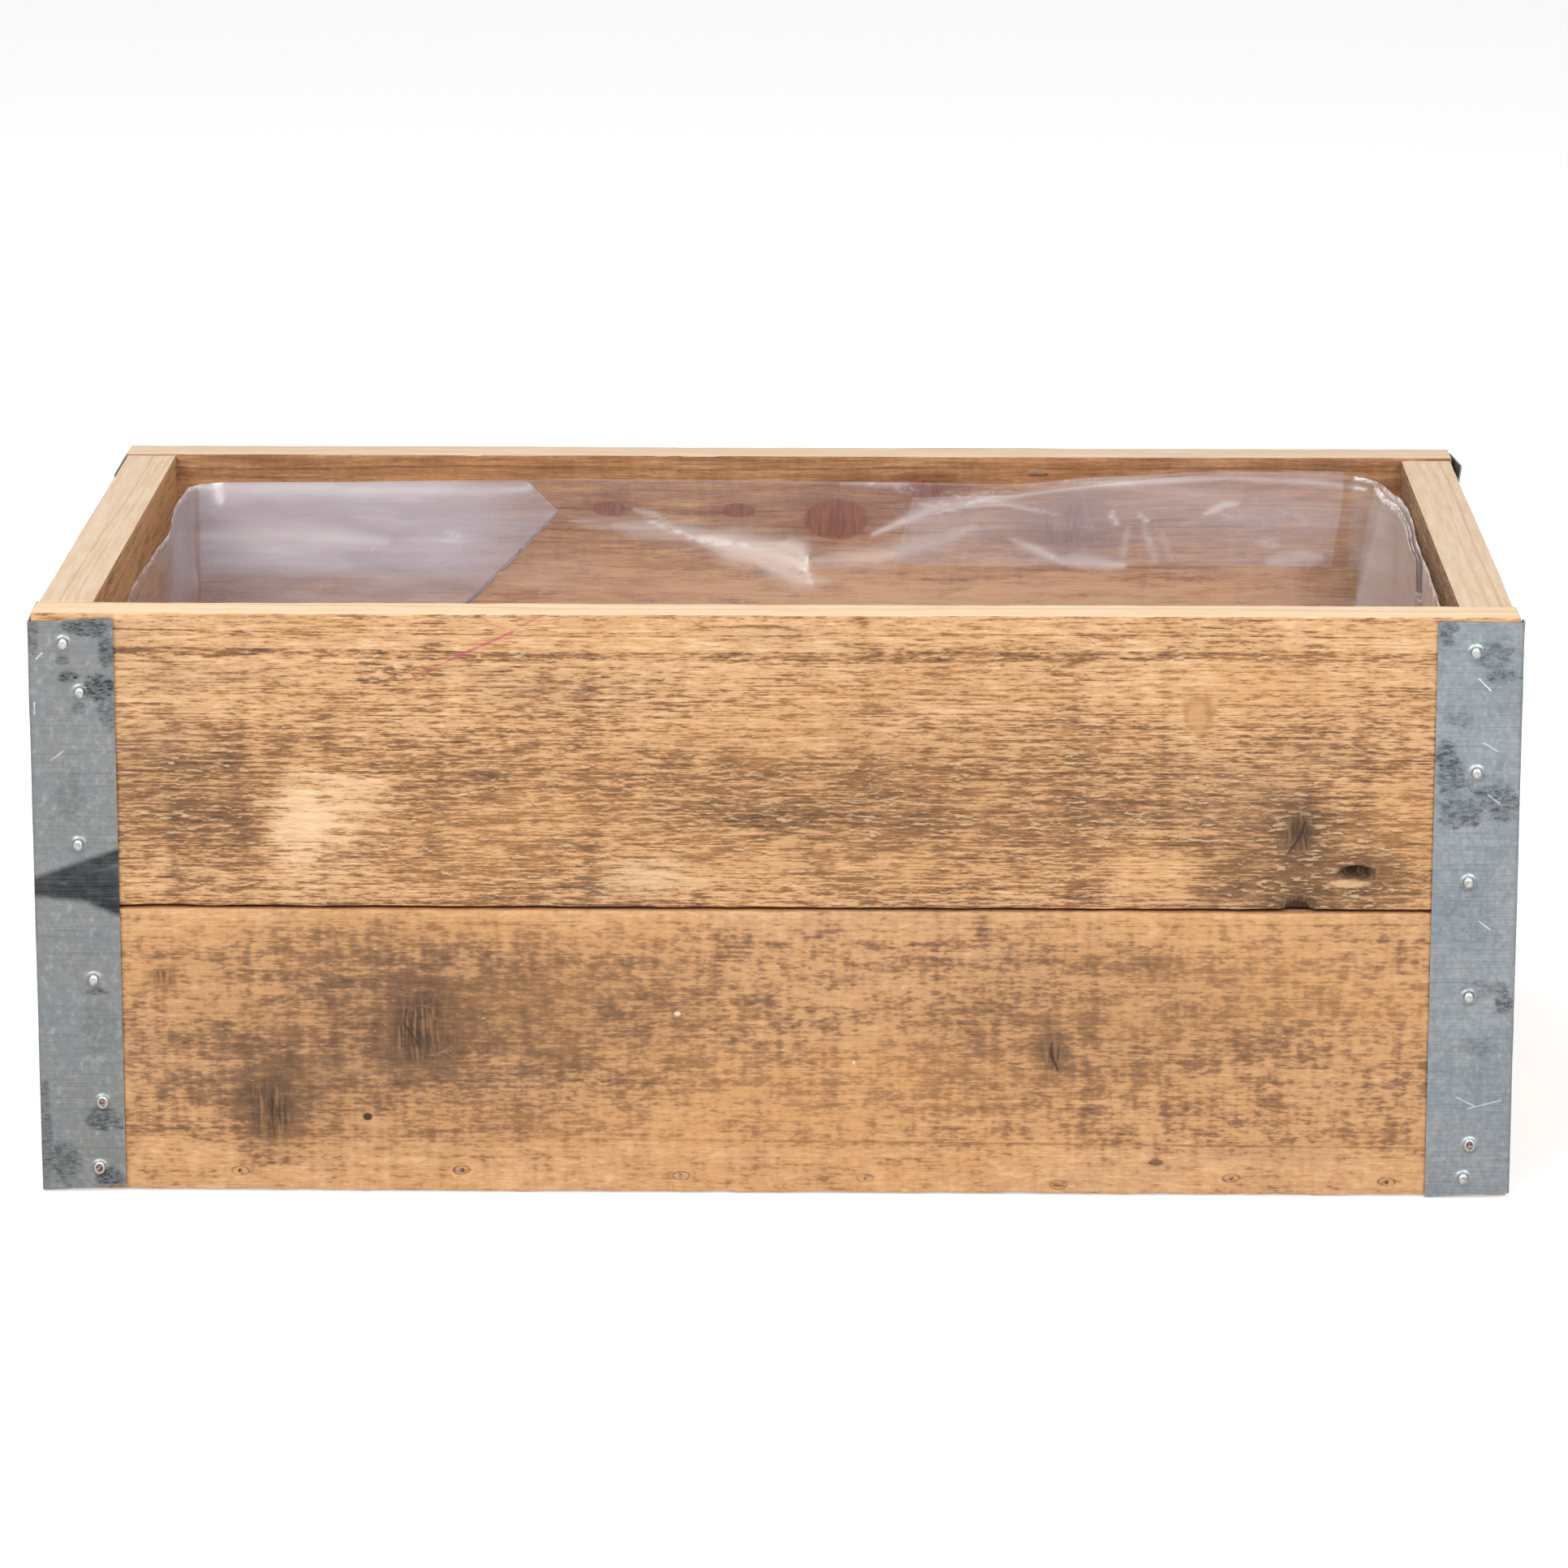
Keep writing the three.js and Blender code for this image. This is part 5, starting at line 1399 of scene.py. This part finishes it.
BACK_LEFT = [(-226, 42), (-87, 181), (-98, 192), (-226, 192)]
HEM = [(40, 162), (213, 161), (213, 194), (47, 187)]
RIGHT_BACK = [(126, 42), (-11, 181), (-2, 190), (126, 190)]
FRONT_RIGHT = [(226, 42), (89, 181), (99, 190), (226, 190)]
FRONT_LEFT = [(-along, up) for along, up in FRONT_RIGHT]
LAYER_GAP = 1.1 * MM
flaps = []
for layer in (1, 2):
    inset = layer * LAYER_GAP
    flaps += [film_flap("y", INNER.y - inset, BACK_LEFT), film_flap("x", INNER.x - inset, RIGHT_BACK),
              film_flap("y", -INNER.y + inset, FRONT_RIGHT), film_flap("y", -INNER.y + inset, FRONT_LEFT)]
flaps.append(film_flap("y", INNER.y - LAYER_GAP, HEM))
print("Flaps of spare film:", len(flaps))

# %% [markdown]
# The flaps are joined to the tray, and each free edge gets a narrow strip of its own, because a cut
# edge of film catches the light. Then the film is crumpled: slow bulges off the walls, a corner
# that bridges instead of lying in, and sharper creases between them. It moves inward, and the few
# points that would enter the wood are pressed flat against the wall.

# %% Joining the film
CUT_EDGE = 0.9 * MM

pick(liner)
for material in (FILM, CLOUDY_FILM, EDGE_FILM):
    liner.data.materials.append(material)
for flap in flaps:
    flap.data.materials.append(CLOUDY_FILM)
    flap.select_set(True)
bpy.ops.object.join()
middles, _ = faces_of(liner)
choose(liner, "polygons", (middles[:, 1] > 110 * MM) & (middles[:, 2] > 151 * MM))
edit(liner, bpy.ops.mesh.subdivide, number_cuts=1)

pairs = np.array([edge.vertices[:] for edge in liner.data.edges])
uses = np.zeros(len(pairs), int)
numbers = {key: index for index, key in enumerate(tuple(sorted(pair)) for pair in pairs.tolist())}
for face in liner.data.polygons:
    for key in face.edge_keys:
        uses[numbers[tuple(sorted(key))]] += 1
ends = edge_ends(liner)
rise = np.abs(ends[:, 1, 2] - ends[:, 0, 2]) / np.linalg.norm(ends[:, 1] - ends[:, 0], axis=1)
under_hem = (rise < 0.1) & (np.abs(ends[:, :, 2].mean(axis=1) - 161.5 * MM) < 0.8 * MM)
choose(liner, "edges", (uses == 1) & (rise < 0.72) & ~under_hem)
before = len(liner.data.polygons)
edit(liner, bpy.ops.mesh.extrude_region_move, TRANSFORM_OT_translate={"value": (0, 0, CUT_EDGE)})
for face in list(liner.data.polygons)[before:]:
    face.material_index = 2
print("The film's cut edges have", len(liner.data.polygons) - before, "faces")

# %% Crumpling the film
points = points_of(liner)
walls = soft_step(points[:, 2], 20 * MM, 70 * MM)
stations = [-0.23, -0.16, -0.08, 0.04, 0.085, 0.116, 0.162, 0.192, 0.23]
lift = np.interp(points[:, 0], stations, [-1, -0.5, 0.8, 0, -0.6, 2.4, 4.6, 4.2, 3])
high = soft_step(points[:, 2], 150 * MM, 192 * MM)
on_back = soft_step(points[:, 1], 110 * MM, 130 * MM)
push(liner, np.clip(high * on_back * lift / 5, 0, 1), 5 * MM, "Z")
push(liner, np.clip(high * on_back * -lift / 5, 0, 1), -5 * MM, "Z")
points = points_of(liner)
corner = soft_step(points[:, 0], 190 * MM, 232 * MM) * soft_step(points[:, 1], 96 * MM, 133 * MM)
bridge = corner * walls * (1 - 0.55 * soft_step(points[:, 2], 150 * MM, 196 * MM))
push(liner, bridge, -15 * MM, "X")
push(liner, bridge, -5 * MM, "Y")
points = points_of(liner)
on_left = soft_step(-points[:, 0], 200 * MM, 230 * MM) * soft_step(points[:, 2], 40 * MM, 150 * MM)
push(liner, on_left, 4 * MM, "X")
points = points_of(liner)
walls = soft_step(points[:, 2], 20 * MM, 70 * MM)
roughen(liner, (0.08, 0.07, 0.05), -4.5 * MM, weights=walls, shift=0.4, mid=0.22)
roughen(liner, (0.03, 0.03, 0.012), -1.5 * MM, weights=walls, shift=1.4, mid=0.22)

for axis, wall in ((0, 230.2 * MM), (1, 131.7 * MM)):
    flatten = tuple(0 if part == axis else 1 for part in range(3))
    for side in (-1, 1):
        beyond = points_of(liner)[:, axis] * side > wall
        on_wall = tuple(side * wall if part == axis else 0 for part in range(3))
        choose(liner, "vertices", beyond)
        if beyond.any():
            edit(liner, bpy.ops.transform.resize, value=flatten, center_override=on_wall)
        print("Pressed to the wall at", round(side * wall, 4), "m:", int(beyond.sum()), "points")

# %% [markdown]
# Where film is creased hard it turns white, and the creases also carry painted highlights. Where it
# bulges it throws the light of the tent back as soft broad bands, which are painted reflections. Both
# are painted into point attributes of the back wall: each mark is a polyline with a width, and a
# point's value falls off with its distance from the line. Where two or three layers lie on each other,
# each gets a smaller share, so that together they come out right.

# %% Painted creases
CREASE_HIGHLIGHTS = [
    ([(-53, 178.5), (-34, 171), (-14, 168.6)], 0.9, 0.45), ([(4, 163), (9, 155)], 1.2, 0.5),
    ([(55, 181.4), (82, 189.9), (98, 194), (128, 194.7)], 0.8, 0.5),
    ([(122.2, 182.8), (123.8, 177.5)], 0.6, 0.6), ([(132.9, 182.9), (136.1, 177.6)], 0.6, 0.6),
    ([(60, 190), (66, 188), (78, 190)], 0.8, 0.6),
    ([(159, 185.4), (171, 176), (192, 182.4), (208, 163.7)], 1.5, 0.2),
    ([(-129, 174.3), (-123, 172.0)], 0.6, 0.5), ([(30, 193), (52, 189), (60, 185)], 0.9, 0.4)]
GLOWS = [
    ([(-221, 190.7), (-166, 190.3), (-114, 189.5), (-98, 190.8)], 2.5, 0.5),
    ([(-221, 172.4), (-188, 172.1), (-152, 170.3)], 3.4, 0.4),
    ([(-219, 162.3), (-191, 162.4), (-166, 160.9)], 3.1, 0.2), ([(-215, 191.2), (-214, 185.0)], 1.8, 0.9),
    ([(-160, 171.1), (-156, 166.4)], 0.6, 0.3), ([(-129, 174.3), (-123, 172.0)], 0.6, 0.4),
    ([(-166, 151.5), (-122, 157.9)], 4.6, 0.12), ([(-80, 177.9), (-50, 175.6)], 2.2, 0.25),
    ([(-66, 176.4), (-40, 174.6), (-22, 169.2), (-12, 167.6)], 3.4, 0.4),
    ([(-32, 171.3), (-6, 166.1), (6, 161.5)], 5.2, 0.62),
    ([(-12, 163.0), (3, 156.8), (9, 154.4)], 3.1, 0.5),
    ([(-58, 182.4), (-51, 180.8), (-45, 177.7)], 1.2, 0.4),
    ([(-3, 169.0), (4, 167.0), (6, 164.6)], 3.7, 0.6), ([(7, 164.6), (8, 154.4)], 0.4, 0.9),
    ([(10, 163.1), (35, 164.7), (58, 171.8), (70, 176.6)], 3.4, 0.38),
    ([(-3, 156.7), (15, 155.2)], 2.2, 0.3),
    ([(32, 173.3), (46, 179.6), (58, 184.3), (76, 186.7), (95, 190.2)], 1.8, 0.5),
    ([(58, 183.2), (69, 184.4), (82, 185.2), (102, 181.4)], 0.9, 0.5),
    ([(76, 185.9), (95, 190.7), (113, 192.8), (134, 194.1), (165, 195.4)], 1.4, 0.55),
    ([(50, 185.1), (63, 182.8)], 1.1, 0.55),
    ([(20, 192.5), (43, 192.5), (47, 191.6)], 0.9, 0.3),
    ([(84, 171.9), (95, 167.3), (104, 162.6)], 1.5, 0.5),
    ([(103, 163.4), (113, 163.4), (127, 161.6)], 2.2, 0.5), ([(128, 176.8), (126, 162.7)], 1.1, 0.35),
    ([(134, 178.3), (139, 162.7)], 1.4, 0.35), ([(141, 174.5), (145, 163.5)], 0.9, 0.3),
    ([(121, 182.5), (124, 178.3)], 0.7, 0.6),
    ([(132, 182.2), (135, 179.1)], 0.7, 0.6), ([(157, 181.5), (165, 185.5), (170, 185.5)], 1.5, 0.6),
    ([(167, 180.8), (167, 163.6)], 0.5, 0.4), ([(181, 163.7), (201, 165.3)], 2.5, 0.4),
    ([(188, 179.3), (211, 180.9)], 3.1, 0.2),
    ([(177, 171.5), (185, 169.9)], 1.5, 0.3), ([(163, 195.6), (195, 194.1), (217, 192.2)], 1.1, 0.5),
    ([(147, 176.8), (162, 182.3)], 1.2, 0.25), ([(50, 178), (90, 183), (150, 186), (205, 183)], 8, 0.2)]
print("Marks to paint:", len(CREASE_HIGHLIGHTS), "creases and", len(GLOWS), "bands")

# %% Painting the film
GLOW_SHARE = 0.8
points = points_of(liner) / MM
across, depth, height = points.T


def painted_lines(marks):
    """The strongest of all marks at each point: broad in a mark's middle, narrow at its ends."""
    total = np.zeros(len(points))
    for line, width, amount in marks:
        pieces = list(zip(np.array(line), np.array(line)[1:]))
        lengths = [np.linalg.norm(end - start) for start, end in pieces]
        done = 0
        for (start, end), length in zip(pieces, lengths):
            run = end - start
            share = np.clip(((points[:, [0, 2]] - start) @ run) / (run @ run), 0, 1)
            far = np.linalg.norm(points[:, [0, 2]] - (start + share[:, None] * run), axis=1)
            along = (done + share * length) / sum(lengths)
            spread = width * np.clip(0.6 + 2.6 * np.minimum(along, 1 - along), 0, 1.3)
            total = np.maximum(total, amount * np.exp(-((far / spread) ** 2)))
            done += length
    return total * (depth > 100)


def one_layer(amount, layers):
    """The share of each layer when together they have to hide an amount."""
    return 1 - (1 - np.clip(amount, 0, 0.97)) ** (1 / layers)


on_back = depth > 122
in_left_flap = (across < height - 268) & (across < 94 - height) & (across > -227) & on_back
in_hem = (across > 40 + (height - 162) * 0.28) & (across < 213) & (height > 161.5) & on_back
layers = 1 + 2.0 * in_left_flap + 1.0 * in_hem
in_gusset = soft_step(across - (213.9 + (height - 149) * 0.21), -0.8, 0.8)
edge_points = np.zeros(len(points), bool)
for face in liner.data.polygons:
    if face.material_index == 2:
        edge_points[list(face.vertices)] = True
flap_milk = in_left_flap * soft_step(height, 153, 164) * (1 - 0.75 * soft_step(across, -130, -96))
wall_milk = soft_step(-across, 208, 218) * soft_step(height, 140, 160) * soft_step(depth, -20, 100)
gap_milk = (depth > 104) * (across >= 211) * soft_step(height, 160.5, 162.5)
milky = np.maximum(0.66 * flap_milk, 0.5 * wall_milk * ~in_left_flap)
milky = np.maximum(milky, 0.24 * gap_milk)
smoky = 0.8 * in_gusset * (across > 150)
# A painted highlight along the film's cut edge on the right wall, and a weaker one on the left wall.
rim_highlight = 0.95 * (edge_points & (across > 213)) + 0.5 * (edge_points & (across < -213))
painted = {
    "shine": np.maximum(one_layer(painted_lines(CREASE_HIGHLIGHTS), layers), rim_highlight),
    "glow": one_layer(GLOW_SHARE * painted_lines(GLOWS), layers),
    "cloud": one_layer(np.maximum(milky, smoky), layers),
}
for label, values in painted.items():
    liner.data.attributes.new(label, "FLOAT", "POINT").data.foreach_set("value", values)
pick(liner)
bpy.ops.object.shade_smooth()
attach(liner, "root")
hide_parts("film_liner")
print("The film has", len(liner.data.polygons), "faces")

# %% [markdown]
# ## Small steel
# The brads along the foot of all four walls show only their small dark heads, sunk in torn holes.
# One head is made from a cylinder with a raised middle, and copied to each hole. The staples are
# plain bent wire and keep the model's own shape. The brads are rusted like the nails' pits, and the
# staples get the nails' steel.

# %% Brads and staples
BRAD_RADIUS, BRAD_LENGTH, BRAD_SUNK = 1.1 * MM, 3 * MM, 0.8 * MM


def brad_head():
    """A short round head that looks along +Z, its middle raised a little."""
    bpy.ops.object.select_all(action="DESELECT")
    bpy.ops.mesh.primitive_cylinder_add(vertices=12, radius=BRAD_RADIUS, depth=BRAD_LENGTH,
                                        end_fill_type="NGON")
    piece = bpy.context.object
    _, normals = faces_of(piece)
    choose(piece, "polygons", normals[:, 2] > 0.9)
    edit(piece, bpy.ops.mesh.inset, thickness=0.4 * MM, depth=0.2 * MM)
    return piece


pattern_brad = brad_head()
pattern_brad.data.materials.append(RUST)
LONG_SEAT, END_SEAT = (face - BRAD_SUNK - BRAD_LENGTH / 2 for face in (LONG_WALL, END_FACE))
for number, (x, z) in enumerate(BRAD_PLACES, 1):
    set_copy(pattern_brad, f"front_brad_{number}", (RIGHT_ANGLE, 0, 0), (x * MM, -LONG_SEAT, z * MM))
    set_copy(pattern_brad, f"back_brad_{number}", (-RIGHT_ANGLE, 0, 0), (-x * MM, LONG_SEAT, z * MM))
for number, (y, z) in enumerate(END_BRAD_PLACES, 1):
    set_copy(pattern_brad, f"left_brad_{number}", (0, -RIGHT_ANGLE, 0), (-END_SEAT, y * MM, z * MM))
    set_copy(pattern_brad, f"right_brad_{number}", (0, RIGHT_ANGLE, 0), (END_SEAT, y * MM, z * MM))
bpy.data.objects.remove(pattern_brad)
print("Brads placed:", 2 * len(BRAD_PLACES) + 2 * len(END_BRAD_PLACES))
for name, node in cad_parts.items():
    if name.startswith("liner_staple"):
        for slot in node.material_slots:
            slot.material = STEEL
